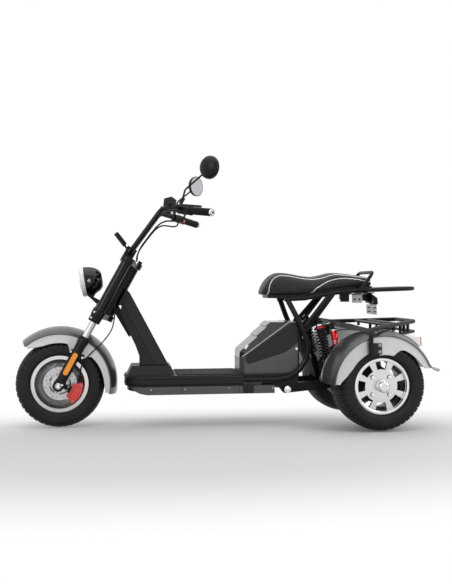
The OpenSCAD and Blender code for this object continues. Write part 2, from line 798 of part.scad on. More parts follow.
module caliper() {
    slot = disc_t / 2 + caliper_room;
    y_out = disc_y - slot - caliper_cheek;
    y_in = disc_y + slot + caliper_cheek;
    bracket_y = -lug_in_y + gap;
    color("#d8322a") steered() translate([-fork_offset, 0, 0]) difference() {
        union() {
            translate([0, (y_in + y_out) / 2, 0]) side_plate(y_in - y_out)
                arc_plate(disc_r * caliper_shares[0], disc_r * caliper_shares[1], -caliper_half_deg,
                    caliper_half_deg);
            puck(bracket_ring_r, bracket_y, bracket_y + bracket_t);
            translate([0, (bracket_y + y_out + over) / 2, 0]) side_plate(y_out + over - bracket_y)
                arc_plate(bracket_ring_r / 2, disc_r * caliper_shares[2], -bracket_half_deg,
                    bracket_half_deg);
        }
        puck(disc_r + caliper_room, disc_y - slot, disc_y + slot);
        puck(axle_r + fit, -leg_y, 0);
    }
}

// Smooth curve through points chosen by hand, for hoses and cables
tube_sides = 8;
tube_sub = 3;
function curve_at(p, i, t) =
    let (a = p[max(i - 1, 0)], b = p[i], c = p[i + 1], d = p[min(i + 2, len(p) - 1)])
    b + (c - a) * t / 2 + (2 * a - 5 * b + 4 * c - d) * t * t / 2 + (3 * b - 3 * c + d - a) * t * t * t / 2;
function curve(p) = concat(
    [for (i = [0:len(p) - 2], k = [0:tube_sub - 1]) curve_at(p, i, k / tube_sub)], [p[len(p) - 1]]);

// Route of the brake hose from the caliper, up the left leg and behind the fork to the upper yoke
hose_r = 3;
// Start of the route beside the disc: shares of its radius behind and above the axle, and the distance
// from the middle
hose_start = [[0.939, -84, 0.512], [0.915, -92, 0.756], [0.768, -108, 1.122]];
hose_route = concat([for (p = hose_start) [p.x * disc_r - fork_offset, p.y, p.z * disc_r]], [
    [18, -124, 122], [17, -129, 152], [20, -130, 184], [30, -129, 218], [46, -127, 264], [56, -124, 310],
    [60, -119, 352], [53, -112, 386], [42, -104, 418], [30, -95, 444], [17, -86, 470], [2, -78, 510],
    [-8, -75, 560], [-10, -75, 610], [-10, -75, 650], [-10, -75, up_yoke_z - gap]
]);
module brake_hose() color("#161616") steered() swept_tube(curve(hose_route), hose_r, tube_sides);

// Route of the cables from the right-hand controls along the riser to the upper yoke; the left is its
// mirror image
cable_r = 4;
cable_route = [
    [104, 238, 1014], [104, 214, 996], [92, 186, 980], [66, 154, 966], [36, 134, 950], [16, 120, 920],
    [6, 112, 880], [-2, 104, 830], [-8, 97, 780], [-4, 88, 740], [4, 80, 722], [6, 78, up_yoke_top + gap]
];
module bar_cables() {
    color("#161616") steered() for (s = [-1, 1])
        swept_tube(curve([for (p = cable_route) [p.x, s * p.y, p.z]]), cable_r, tube_sides);
}

// Amber reflectors on the outer sides of the fork legs
reflector_ends = [74, 168];
reflector_r = 12;
reflector_t = 6;

module fork_reflectors() {
    color("orange") steered() for (s = [-1, 1]) difference() {
        translate([-fork_offset, s * (leg_y + leg_r / 2), 0]) rotate([-90 * s, 0, 0]) {
            for (z = reflector_ends) translate([0, -s * z, 0])
                cylinder(r = reflector_r, h = leg_r / 2 + reflector_t);
            translate([-reflector_r, s > 0 ? -reflector_ends[1] : reflector_ends[0], 0])
                cube([2 * reflector_r, reflector_ends[1] - reflector_ends[0], leg_r / 2 + reflector_t]);
        }
        translate([-fork_offset, s * leg_y, 0]) cylinder(r = leg_r + gap, h = leg_top);
    }
}

// Head tube with its brace, and the moulded column behind it

brace_half_w = 16;
// Brace in the frame of the steering axis: distance behind the axis and height above the axle's level
brace_points = [[25.5, 437], [33, 474.5], [144.6, 395.2], [162.3, 374.3], [155.5, 357.5]];
// Column's head against the head tube, in the same frame
column_head = [[43.8, 481], [30.3, 473.6], [27.6, 565.6], [53, 556.7]];
// Column's foot and hollow front, and its back: distance behind the front fender and height above the deck
column_foot = [[110.2, 43.9], [110.2, 86.9], [97.8, 121.4]];
column_back = [256, 43.9];
// Half of the width at the column's head as a share of that at its foot
column_head_share = 0.74;
// Height of the fairing that the column stands on
fairing_h = 43.9;

// Places in the side view from the frame of the steering axis, and from the fender's back and the deck's top
function axis_side(p) = [
    front_x + (fork_offset + p[0]) * cos(rake) + p[1] * sin(rake),
    tyre_r - (fork_offset + p[0]) * sin(rake) + p[1] * cos(rake)
];
function deck_side(p) = [fender_x + p[0], deck_top + p[1]];
column_outline = concat(
    [for (p = column_foot) deck_side(p)], [for (p = column_head) axis_side(p)], [deck_side(column_back)]);

// A solid with an outline in the side view, and with sides that lean in from half_low to half_high
module leaning_solid(outline, half_low, half_high, z_low, z_high) {
    xs = [for (p = outline) p[0]];
    intersection() {
        side_plate(2 * max(half_low, half_high) + 2 * over) polygon(outline);
        translate([min(xs) - over, 0, 0]) rotate([90, 0, 90])
            linear_extrude(height = max(xs) - min(xs) + 2 * over)
            polygon([[-half_low, z_low], [half_low, z_low], [half_high, z_high], [-half_high, z_high]]);
    }
}

module column_solid() {
    leaning_solid(column_outline, column_half_w, column_half_w * column_head_share,
        deck_top + fairing_h + gap, axis_side(column_head[2])[1]);
}

module head_tube() {
    color("#2a2a2a") difference() {
        union() {
            steered() translate([0, 0, low_yoke_top + head_play])
                cylinder(r = head_r, h = up_yoke_z - low_yoke_top - 2 * head_play);
            difference() {
                side_plate(2 * brace_half_w) polygon([for (p = brace_points) axis_side(p)]);
                translate([-gap, 0, 0]) column_solid();
            }
        }
        steered() cylinder(r = stem_r + fit, h = 2 * up_yoke_top);
    }
}

module column() {
    color("#3c3e40") difference() {
        column_solid();
        steered() cylinder(r = head_r + gap, h = 2 * up_yoke_top);
    }
}

// Foot deck with its rounded nose and fairing, the mat on it and the skirts below it

// Distance from the front fender's back to the deck's nose
nose_gap = 34;
// Places along the body: end of the deck, end of the chassis under the box, end of the skirts
deck_x_shares = [0.588, 0.774, 0.69];
nose_l = 110;
nose_steps = 14;
deck_t = 42;
chassis_inset = 14;
rail_inset = 4;
fairing_half_w = 104;
fairing_top_share = 0.8;
fairing_points = [[45, -6.7], [69, fairing_h], [264.2, fairing_h], [285, -6.7]];
skirt_t = 10;
mat_gap = 295;
mat_end_share = 0.578;
mat_inset = 22;
mat_ribs = 9;
mat_rib_h = 1.5;
mat_rib_share = 0.5;

deck_x = concat([fender_x + nose_gap], [for (t = deck_x_shares) along(t)]);

// Plan of the deck, drawn in by an inset, from its rounded nose back to x1
module deck_plan(inset, x1) {
    polygon(concat(
        [for (i = [0:nose_steps]) let (t = -90 + 180 * i / nose_steps)
            [deck_x[0] + nose_l - (nose_l - inset) * cos(t), (deck_half_w - inset) * sin(t)]],
        [[x1, deck_half_w - inset], [x1, -deck_half_w + inset]]));
}

module deck() {
    color("#333537") {
        translate([0, 0, deck_top - deck_t]) linear_extrude(height = deck_t) deck_plan(0, deck_x[1]);
        translate([0, 0, rail_z]) linear_extrude(height = deck_top - deck_t - rail_z + over)
            deck_plan(rail_inset, deck_x[1]);
        translate([0, 0, belly_z + chassis_inset]) linear_extrude(height = rail_z - belly_z)
            deck_plan(chassis_inset, deck_x[1]);
        translate([deck_x[1] - over, -box_half_w, rail_z + chassis_inset])
            cube([deck_x[2] - deck_x[1] + over, 2 * box_half_w, deck_top - rail_z - chassis_inset]);
        leaning_solid([for (p = fairing_points)
            deck_side(p)], fairing_half_w, fairing_half_w * fairing_top_share,
            deck_side(fairing_points[0])[1], deck_top + fairing_h);
    }
}

module deck_mat() {
    x0 = fender_x + mat_gap;
    x1 = along(mat_end_share);
    half = deck_half_w - mat_inset;
    pitch = 2 * half / mat_ribs;
    color("#202020") {
        translate([x0, -half, deck_top + gap]) cube([x1 - x0, 2 * half, mat_t - mat_rib_h]);
        for (i = [0:mat_ribs - 1])
            translate([x0, -half + (i + (1 - mat_rib_share) / 2) * pitch, deck_top + gap])
                cube([x1 - x0, pitch * mat_rib_share, mat_t]);
    }
}

// Upward sweep of the skirts' lower edge under the nose, as shares of the nose's length and of the skirts'
// height
sweep_shares = [[0, 1.1], [0.245, 0.98], [0.413, 0.5], [0.693, 0.16], [1.03, 0], [1.03, -0.2], [-0.063,
    -0.2]];

module side_skirts() {
    color("#47494b") difference() {
        translate([0, 0, belly_z]) linear_extrude(height = rail_z - belly_z - gap) difference() {
            deck_plan(0, deck_x[3]);
            deck_plan(skirt_t, deck_x[3] + over);
        }
        side_plate(2 * deck_half_w + 2 * over) polygon([for (s = sweep_shares)
            [deck_x[0] + s[0] * nose_l, mix(belly_z, rail_z, s[1])]]);
    }
}

// Battery box behind the deck, with its sloping cover and the mudguard behind it

// Box in the side view: front foot, front edge, end of the slope and back
box_shares = [[0.5802, 0.334], [0.5802, 0.4368], [0.7416, 0.672], [0.7727, 0.672], [0.7727, 0.334]];
// Where the bevelled front corners of the box end on its sides
box_corner_share = 0.5935;
// Cover in the side view: nose, two raised steps on its slope, top, and its foot along the box's slope
cover_shares = [
    [0.5802, 0.468], [0.5847, 0.4863], [0.638, 0.575], [0.636, 0.5834], [0.6698, 0.6389], [0.6679, 0.6473],
    [0.6834, 0.672], [0.7416, 0.672], [0.5802, 0.4368]
];
// Ridge between the cover's top and its sloping sides
ridge_shares = [[0.5802, 0.488], [0.664, 0.672], [0.7416, 0.672]];
ridge_half_w = 84;
box_lift = gap;

// Plan of the box with its bevelled front corners
module box_plan() {
    x = [for (t = [box_shares[0][0], box_corner_share, box_shares[3][0]]) along(t)];
    polygon([
        [x[0], -ridge_half_w], [x[1], -box_half_w], [x[2], -box_half_w],
        [x[2], box_half_w], [x[1], box_half_w], [x[0], ridge_half_w]
    ]);
}

module battery_box() {
    color("#56585a") translate([0, 0, deck_top - rise(box_shares[0][1]) + box_lift]) intersection() {
        side_plate(2 * box_half_w + over) polygon([for (s = box_shares) side(s)]);
        linear_extrude(height = seat_h) box_plan();
    }
}

module box_cover() {
    dz = deck_top - rise(box_shares[0][1]) + box_lift;
    slope = side(box_shares[2]) - side(box_shares[1]);
    lift = gap * unit([-slope.y, slope.x]);
    a = side(box_shares[1]) + lift;
    b = side(box_shares[2]) + lift;
    r = [for (s = ridge_shares) side(s) + lift];
    pts = [for (s = [-1, 1]) each [
        [a.x, s * box_half_w, a.y], [b.x, s * box_half_w, b.y],
        [r[0].x, s * ridge_half_w, r[0].y], [r[1].x, s * ridge_half_w, r[1].y], [r[2].x, s * ridge_half_w,
            r[2].y]
    ]];
    color("#2c2e30") translate([0, 0, dz]) intersection() {
        hull() polyhedron(pts, [[0, 1, 4, 3, 2], [5, 7, 8, 9, 6],
            [0, 2, 7, 5], [2, 3, 8, 7], [3, 4, 9, 8], [4, 1, 6, 9], [1, 0, 5, 6]]);
        side_plate(2 * box_half_w + over) polygon([for (s = cover_shares) side(s) + lift]);
        linear_extrude(height = seat_h) box_plan();
    }
}

mudguard_t = 6;
mudguard_z_share = 0.655;

module inner_mudguard() {
    x0 = side(box_shares[3])[0] + gap;
    color("#181818") translate([x0, -box_half_w, deck_top + gap])
        cube([mudguard_t, 2 * box_half_w, rise(mudguard_z_share) - deck_top - gap]);
}

// Rear frame: two loop tubes with seat struts, gussets and pivot plates, and the seat rails above

loop_shares = [[0.5885, 0.297], [0.859, 0.297], [0.7672, 0.7], [0.742, 0.812]];
loop_top_y_share = 0.72;
strut_y = 112;
strut_shares = [[[0.88, 0.85], [0.7922, 0.64]], [[0.8987, 0.868], [0.8156, 0.652]]];
strut_foot_y = [loop_y, strut_y];
gusset_shares = [[0.786, 0.575], [0.779, 0.628], [0.794, 0.69], [0.846, 0.7], [0.848, 0.668], [0.812, 0.625]];
gusset_t = 8;
gusset_y = 116;
// Tube across the frame between the gussets
cross_share = [0.806, 0.665];
cross_r = 9;
pivot_shares = [0.7312, 0.2347];
pivot_plate_shares = [[0.685, 0.29], [0.69, 0.275], [0.72, 0.215], [0.742, 0.215], [0.768, 0.275], [0.773,
    0.33], [0.735, 0.3]];
pivot_r = 9;
// Rails under the saddle and the upper rack behind it
rail_r = 11;
rail_bend_r = 45;
// Rail places: shares of the wheelbase, of the saddle's height, and of the strut spacing
rail_shares = [[0.73, 0.822, 0.84], [0.797, 0.829, 0.9], [0.8987, 0.8657, 0.93], [0.974, 0.8814, 0.93],
    [1.1786, 0.8957, 0.93]];
rack_bar_shares = [1.06, 1.12];
rack_bar_r = 8;
shock_top_share = [0.8396, 0.668];
shock_low_share = [0.8649, 0.412];
shock_y = 140;
eye_pin_r = 7;
eye_r = 15;
eye_half = 12;

function rail_pt(i, s) = spot(rail_shares[i], s * strut_y * rail_shares[i][2]);
rail_corners = concat([for (i = [0:4]) rail_pt(i, -1)], [for (i = [4:-1:0]) rail_pt(i, 1)]);

// Rail tubes, grown by an extra radius
module rail_tubes(extra) bent_tube(rail_corners, rail_r + extra, rail_bend_r);

// Height of the rails at a share of the wheelbase, as a share of the saddle's height
function rail_z(x) =
    let (i = x < rail_shares[3][0] ? 2 : 3, a = rail_shares[i], b = rail_shares[i + 1])
    mix(a[1], b[1], (x - a[0]) / (b[0] - a[0]));

module rear_frame() {
    rack_y = strut_y * rail_shares[4][2];
    color("#222222") difference() {
        union() {
            rail_tubes(0);
            for (x = rack_bar_shares)
                straight_tube(spot([x, rail_z(x)], -rack_y), spot([x, rail_z(x)], rack_y), rack_bar_r);
            for (s = [-1, 1]) {
                bent_tube([for (i = [0:3])
                    spot(loop_shares[i], s * loop_y * (i == 3 ? loop_top_y_share : 1))],
                    loop_r, loop_bend_r);
                for (i = [0, 1])
                    straight_tube(spot(strut_shares[i][1], s * strut_foot_y[i]),
                        spot(strut_shares[i][0], s * strut_y * rail_shares[2][2]), strut_r);
                translate([0, s * gusset_y, 0]) side_plate(gusset_t)
                    polygon([for (g = gusset_shares) side(g)]);
                translate([0, s * loop_y, 0]) side_plate(gusset_t) polygon([for (g = pivot_plate_shares)
                    side(g)]);
                rod(spot(shock_top_share, s * strut_y), spot(shock_top_share,
                    s * (shock_y + eye_half + nut_h)), eye_pin_r);
            }
            straight_tube(spot(cross_share, -strut_y), spot(cross_share, strut_y), cross_r);
        }
        rod(spot(pivot_shares, -2 * loop_y), spot(pivot_shares, 2 * loop_y), pivot_r + fit);
    }
}

// Saddle: rows of share of the wheelbase, top and bottom as shares of the saddle's height, and share of
// its half width
saddle_half_w = 128;
saddle_round = 0.62;
saddle_sides = 24;
saddle_shares = [
    [0.655, 0.864, 0.852, 0.34], [0.661, 0.9, 0.846, 0.52], [0.674, 0.945, 0.845, 0.68], [0.692, 0.983,
        0.844, 0.8],
    [0.712, 1, 0.844, 0.88], [0.745, 0.996, 0.845, 0.97], [0.79, 0.978, 0.848, 1], [0.828, 0.97, 0.858, 0.98],
    [0.865, 0.982, 0.872, 0.95], [0.8974, 1, 0.886, 0.92], [0.95, 0.992, 0.8985, 0.88], [1.0, 0.978, 0.902,
        0.84],
    [1.03, 0.966, 0.9035, 0.78], [1.0435, 0.955, 0.905, 0.68]
];

function saddle_ring(row) =
    let (x = along(row[0]), zt = rise(row[1]), zb = rise(row[2]))
    [for (k = [0:saddle_sides - 1]) let (a = k * 360 / saddle_sides)
        [x, saddle_half_w * row[3] * signed_pow(cos(a), saddle_round),
            (zt + zb) / 2 + (zt - zb) / 2 * signed_pow(sin(a), saddle_round)]];

// Closed skin over rings that all have the same number of points
module loft(rings) {
    n = len(rings);
    m = len(rings[0]);
    walls = [for (i = [0:n - 2], k = [0:m - 1], h = [0, 1])
        let (a = i * m + k, b = i * m + (k + 1) % m)
        h == 0 ? [a, a + m, b] : [b, a + m, b + m]];
    polyhedron([for (r = rings) each r], concat(walls, [
        [for (k = [0:m - 1]) k], [for (k = [m - 1:-1:0]) (n - 1) * m + k]
    ]));
}

module saddle() color("#1b1b1b") loft([for (row = saddle_shares) saddle_ring(row)]);

// Grab rail behind the saddle
grab_r = 9;
grab_bend_r = 30;
grab_y = 123.5;
grab_top_y = 120;
grab_shares = [[0.982, 0.88], [1.0292, 1.004]];

module grab_rail() {
    color("#202020") difference() {
        bent_tube([spot(grab_shares[0], -grab_y), spot(grab_shares[1], -grab_top_y),
            spot(grab_shares[1], grab_top_y), spot(grab_shares[0], grab_y)], grab_r, grab_bend_r);
        rail_tubes(gap);
    }
}

// Brackets for a plate and a lamp, hung under the upper rack
strap_shares = [[0.945, 0.985], [1.0, 1.035]];
strap_t = 5;
tab_drop = 26;
tab_half_w = 60;
holder_half_w = 70;
// Drop of the plate holder as a share of the height between the two racks
holder_share = 0.333;
holder_lean_deg = 18;

module rack_brackets() {
    half = strut_y * rail_shares[3][2] + rail_r;
    color("#8c8c8c") for (i = [0, 1]) {
        x0 = along(strap_shares[i][0]);
        x1 = along(strap_shares[i][1]);
        z = rise(rail_z(strap_shares[i][0])) - rail_r - gap - strap_t;
        translate([x0, -half, z]) cube([x1 - x0, 2 * half, strap_t]);
        translate([x0, -tab_half_w, z - tab_drop]) cube([strap_t, 2 * tab_half_w, tab_drop + over]);
        drop = holder_share * (z - tyre_r - rear_crown_r);
        if (i == 1) translate([x1 - strap_t, 0, z + over]) rotate([0, -holder_lean_deg, 0])
            translate([0, -holder_half_w, -drop]) cube([strap_t, 2 * holder_half_w, drop]);
    }
}

// Lower rack: a bent tube from fender to fender, a second tube under its rear, posts, crossbars and a sheet

// Places from the rear axle, as shares of the fenders' crown radius: foot and top of the legs, and the
// rear corners
low_rack_shares = [[-0.2664, 0.5376], [-0.2664, 1.008], [0.9477, 1.0949]];
low_rack_rear_y = 129;
low_rack_bend_r = 34;
rack_leg_y = rear_track / 2 + rear_fender_half_w + gap + rack_r;
// Crossbars, ends of the lower tube and posts, as shares of the way from the legs to the rear corners
crossbar_shares = [0.45, 0.62];
low_tube_share = 0.66;
post_shares = [0.502, 0.66, 0.746, 0.842];
post_r = 8;
low_tube_drop = 52;
low_tube_bend_r = 26;
// Plates that fasten the legs to the fenders
foot_plate = [44, 4, 54];

function axle_side(p, y) = [rear_x + p[0] * rear_crown_r, y, tyre_r + p[1] * rear_crown_r];
function rack_side(t, s) =
    mix(axle_side(low_rack_shares[1], s * rack_leg_y), axle_side(low_rack_shares[2], s * low_rack_rear_y), t);
function low_side(t, s) = rack_side(t, s) - [0, 0, low_tube_drop];

module rack_tube() {
    bent_tube([axle_side(low_rack_shares[0], -rack_leg_y), rack_side(0, -1), rack_side(1, -1),
        rack_side(1, 1), rack_side(0, 1), axle_side(low_rack_shares[0], rack_leg_y)],
        rack_r, low_rack_bend_r);
}

module lower_rack() {
    color("#1f1f1f") {
        rack_tube();
        for (t = crossbar_shares) straight_tube(rack_side(t, -1), rack_side(t, 1), post_r);
        bent_tube([low_side(low_tube_share, -1), low_side(1, -1), low_side(1, 1), low_side(low_tube_share,
            1)],
            post_r, low_tube_bend_r);
        for (s = [-1, 1]) {
            for (t = post_shares) {
                head = rack_side(t, s);
                crown_z = tyre_r + sqrt(pow(rear_crown_r, 2) - pow(head.x - post_r - rear_x, 2)) + gap;
                foot_z = t < low_tube_share ? crown_z : low_side(t, s).z;
                straight_tube([head.x, head.y, foot_z], head, post_r);
            }
            foot = axle_side(low_rack_shares[0], s * (rack_leg_y - rack_r + foot_plate.y / 2));
            translate(foot + [foot_plate.x / 2, 0, foot_plate.z / 2]) cube(foot_plate, center = true);
        }
    }
}

// Sloping sheet from the legs of the lower rack forward to the frame, with a lip and two stays at its front
tray_front_share = [0.878, 0.691];
tray_front_y = gusset_y + gusset_t;
// Ends of its corner tabs, as shares of the way along the tube of the rack
tray_corner_shares = [0.07, 0.13];
// Rear edge of the sheet between its corner tabs, as shares of the sheet's length and half width
tray_edge_shares = [0.86, 0.7];
tray_t = 4;
tray_lip = 12;
stay_h = 14;
stay_rear = 6;

module rack_tray() {
    front = side(tray_front_share);
    run = rack_side(1, 1) - rack_side(0, 1);
    inward = [run.y, -run.x] / norm([run.x, run.y]) * (rack_r + gap);
    ends = [for (t = tray_corner_shares) [rack_side(t, 1).x, rack_side(t, 1).y] + inward];
    slope = (rack_side(0, 1).z - front.y) / (ends[0].x - front.x);
    half = [
        [front.x, tray_front_y], ends[0], ends[1],
        [mix(front.x, ends[0].x, tray_edge_shares[0]), ends[0].y * tray_edge_shares[1]]
    ];
    gusset_x = side(gusset_shares[4])[0] + gap;
    color("#6f6d70") {
        multmatrix([[1, 0, 0, 0], [0, 1, 0, 0], [slope, 0, 1, front.y - slope * front.x - tray_t]])
            linear_extrude(height = tray_t)
                polygon(concat(half, [for (i = [3 : -1 : 0]) [half[i].x, -half[i].y]]));
        translate([front.x + tray_t / 2, -tray_front_y, front.y - tray_lip])
            cube([tray_t, 2 * tray_front_y, tray_lip - tray_t / 2]);
        for (s = [-1, 1]) translate([gusset_x, s * gusset_y - gusset_t / 2, front.y - stay_h])
            cube([front.x + stay_rear - gusset_x, gusset_t, stay_h - tray_t * 2 / 3]);
    }
}

// Rear fenders: ends of the band, skirts, and the tail that turns outwards
rear_band_deg = [14, 177];
rear_skirt_shares = [
    [15, 0.89], [24, 0.846], [60, 0.813], [67, 0.764], [73, 0.622], [108, 0.622], [113, 0.72], [152, 0.724],
    [165, 0.78], [176.5, 0.89]
];
// Tail in the side view, as shares of its reach behind the axle
tail_shares = [[0.79, 0.315], [0.82, 0.335], [0.9, 0.277], [1, 0.262], [1, 0.242], [0.88, 0.245], [0.81,
    0.258]];

module rear_fender(s) {
    color("#7f8184") at_rear(s) {
        fender(rear_fender_half_w, rear_edge_r, rear_crown_r, rear_band_deg[0], rear_band_deg[1],
            rear_skirt_shares);
        intersection() {
            side_plate(2 * rear_fender_half_w) polygon([for (p = tail_shares) p * tail_reach]);
            translate([tail_reach - rear_fender_half_w, 0, 0])
                cylinder(r = rear_fender_half_w, h = tail_reach);
        }
    }
}

module rear_left_fender() rear_fender(-1);
module rear_right_fender() rear_fender(1);

// Tail lamps on the rear of both fenders, in the side view as shares of the crown's radius
tail_lamp_shares = [[0.44, 0.88], [0.76, 0.865], [0.775, 0.69], [0.6, 0.6], [0.4, 0.7]];
tail_lamp_w = 76;

module tail_lamps() {
    color("#d9d9d9") for (s = [-1, 1]) at_rear(s) difference() {
        side_plate(tail_lamp_w) polygon([for (p = tail_lamp_shares) p * rear_crown_r]);
        puck(rear_crown_r + gap, -rear_fender_half_w, rear_fender_half_w);
    }
}

// Rear axle with its gear case and motor, and the swing arm that carries it
tube_axle_r = 30;
case_r = 74;
case_half = 66;
motor_r = 62;
motor_half = 92;
motor_ahead = 128;
motor_up = 8;
drum_share = 0.7244;
drum_r = bead_r * drum_share;
drum_t = 24;
drum_gap = 5;

module rear_axle() {
    end_y = rear_track / 2 - rear_hub_in - drum_gap;
    color("#5a5a5a") translate([rear_x, 0, tyre_r]) {
        puck(tube_axle_r, -end_y, end_y);
        puck(stub_r, -rear_track / 2 - stub_out, rear_track / 2 + stub_out);
        puck(case_r, -case_half, case_half);
        for (s = [-1, 1]) translate([0, s * (end_y - drum_t / 2), 0]) puck(drum_r, -drum_t / 2, drum_t / 2);
        translate([-motor_ahead, 0, motor_up]) puck(motor_r, -motor_half, case_half);
        translate([-motor_ahead, 0, -motor_r / 2 + motor_up]) translate([0, -case_half, 0])
            cube([motor_ahead, 2 * case_half, motor_r]);
    }
}

arm_y = 106;
arm_w = 26;
arm_half_h = 23;
arm_end_r = 44;
pivot_boss_r = 24;
pin_end = 18;
shock_lug_t = 8;
shock_lug_half = 34;
lug_foot_shares = [0.42, 0.55];

module swing_arm() {
    p = side(pivot_shares);
    a = [rear_x, tyre_r];
    along = unit(a - p);
    up = [-along.y, along.x];
    low = side(shock_low_share);
    color("#2a2a2a") difference() {
        union() {
            for (s = [-1, 1]) {
                translate([0, s * arm_y, 0]) {
                    side_plate(arm_w) polygon([p + up * arm_half_h, a + up * arm_half_h,
                        a - up * arm_half_h, p - up * arm_half_h]);
                    translate([a.x, 0, a.y]) puck(arm_end_r, -arm_w / 2, arm_w / 2);
                    translate([p.x, 0, p.y]) puck(pivot_boss_r, -arm_w / 2, arm_w / 2);
                    translate([0, s * (arm_w - shock_lug_t) / 2, 0]) side_plate(shock_lug_t) polygon([
                        [low.x - shock_lug_half, mix(p, a, lug_foot_shares[0]).y], [low.x - eye_r, low.y],
                            [low.x, low.y + eye_r],
                        [low.x + eye_r, low.y], [low.x + shock_lug_half, mix(p, a, lug_foot_shares[1]).y]]);
                }
                rod(spot(shock_low_share, s * arm_y), spot(shock_low_share,
                    s * (shock_y + eye_half + nut_h)), eye_pin_r);
            }
            rod([p.x, -loop_y - pin_end, p.y], [p.x, loop_y + pin_end, p.y], pivot_r);
        }
        translate([rear_x, 0, tyre_r]) puck(tube_axle_r + fit, -arm_y - arm_w, arm_y + arm_w);
    }
}

// Shock absorbers with their springs and red reservoirs
damper_r = 13;
sleeve_top_r = 19;
seat_r = 33;
seat_t = 6;
// Places along a shock from its lower eye, as shares of its length: low seat, both ends of the sleeve, top
// seat
shock_shares = [0.16, 0.6, 0.84, 0.955];
link_share = 0.9;
can_r = 17;
can_l = 82;
can_back = 66;
can_link_r = 7;
can_neck_r = 8;
can_drop = 25;
spring_r = 26.5;
spring_wire_r = 4.2;
spring_turns = 8;
spring_steps = 12;
spring_sides = 6;

shock_low = side(shock_low_share);
shock_top = side(shock_top_share);
shock_l = norm(shock_top - shock_low);
shock_lean = atan2(shock_top.x - shock_low.x, shock_top.y - shock_low.y);

// Places its children on the shock on side s, with z up the shock from its lower eye
module at_shock(s) translate([shock_low.x, s * shock_y, shock_low.y]) rotate([0, shock_lean, 0]) children();

module shocks() {
    color("#303030") for (s = [-1, 1]) at_shock(s) difference() {
        union() {
            for (z = [0, shock_l]) translate([0, 0, z]) puck(eye_r, -eye_half, eye_half);
            cylinder(r = damper_r, h = shock_l);
            translate([0, 0, shock_l * shock_shares[1]])
                cylinder(r = sleeve_top_r, h = shock_l * (shock_shares[3] - shock_shares[1]));
            translate([0, 0, shock_l * shock_shares[0] - seat_t]) cylinder(r = seat_r, h = seat_t);
            translate([0, 0, shock_l * shock_shares[2]]) cylinder(r = seat_r, h = seat_t);
            rod([0, 0, shock_l * link_share], [can_back, 0, shock_l * link_share], can_link_r);
            translate([can_back, 0, shock_l * link_share - can_drop - can_l]) cylinder(r = can_r, h = can_l);
            translate([can_back, 0, shock_l * link_share - can_drop - over])
                cylinder(r = can_neck_r, h = can_drop + over + can_link_r);
        }
        for (z = [0, shock_l]) translate([0, 0, z]) puck(eye_pin_r + fit, -2 * eye_half, 2 * eye_half);
    }
}

module coil_spring(z0, z1) {
    n = spring_turns * spring_steps;
    rings = [for (i = [0:n]) let (a = i * 360 / spring_steps, out = [cos(a), sin(a), 0])
        for (k = [0:spring_sides - 1])
            out * (spring_r + spring_wire_r * cos(k * 360 / spring_sides))
            + [0, 0, mix(z0, z1, i / n) + spring_wire_r * sin(k * 360 / spring_sides)]];
    walls = [for (i = [0:n - 1], k = [0:spring_sides - 1], h = [0, 1])
        let (a = i * spring_sides + k, b = i * spring_sides + (k + 1) % spring_sides)
        h == 0 ? [a, b, a + spring_sides] : [b, b + spring_sides, a + spring_sides]];
    polyhedron(rings, concat(walls, [
        [for (k = [spring_sides - 1:-1:0]) k], [for (k = [0:spring_sides - 1]) n * spring_sides + k]
    ]));
}

module shock_springs() {
    color("#161616") for (s = [-1, 1]) at_shock(s)
        coil_spring(shock_l * shock_shares[0] + spring_wire_r + gap,
            shock_l * shock_shares[2] - spring_wire_r - gap);
}

front_tyre();
front_rim();
brake_disc();
front_axle();
rear_left_tyre();
rear_left_rim();
rear_right_tyre();
rear_right_rim();
fork_legs();
stanchions();
lower_yoke();
upper_yoke();
steering_stem();
bar_clamp();
handlebar();
grips();
bar_controls();
mirrors();
mirror_glasses();
display();
headlamp();
headlamp_lens();
headlamp_bracket();
front_fender();
caliper();
brake_hose();
bar_cables();
fork_reflectors();
head_tube();
column();
deck();
deck_mat();
side_skirts();
battery_box();
box_cover();
rear_frame();
saddle();
grab_rail();
rack_brackets();
lower_rack();
rack_tray();
rear_left_fender();
rear_right_fender();
tail_lamps();
rear_axle();
swing_arm();
shocks();
shock_springs();
inner_mudguard();
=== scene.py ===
# %% [markdown]
# # A three-wheeled electric scooter, dressed around its solids
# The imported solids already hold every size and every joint. This lesson adds what solids leave out: tread,
# stitched leather, polish, paint, bolts and panel lines. Each new piece rides on a body, so it moves with it.

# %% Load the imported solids
import math

import bmesh
import bpy
import numpy as np
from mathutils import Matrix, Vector
from mathutils.bvhtree import BVHTree


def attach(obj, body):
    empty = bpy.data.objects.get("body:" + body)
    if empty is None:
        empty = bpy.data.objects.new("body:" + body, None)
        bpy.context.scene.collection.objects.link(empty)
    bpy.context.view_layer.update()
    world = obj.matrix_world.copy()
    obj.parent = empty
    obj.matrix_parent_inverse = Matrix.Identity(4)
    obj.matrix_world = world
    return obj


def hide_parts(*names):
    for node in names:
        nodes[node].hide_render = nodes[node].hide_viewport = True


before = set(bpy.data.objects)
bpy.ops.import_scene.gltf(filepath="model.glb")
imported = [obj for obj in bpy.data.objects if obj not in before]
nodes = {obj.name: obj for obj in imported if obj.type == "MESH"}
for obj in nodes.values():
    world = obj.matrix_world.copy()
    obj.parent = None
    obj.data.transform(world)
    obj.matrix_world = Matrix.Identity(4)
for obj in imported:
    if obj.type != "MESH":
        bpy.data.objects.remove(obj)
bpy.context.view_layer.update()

# %% [markdown]
# ## Camera
# The picture was taken from the scooter's left side, a little ahead of its middle and at about saddle height.
# A camera could be placed by eye; here its place and lens come from fitting the wheels and the fork, so that
# each piece falls where the picture has it.

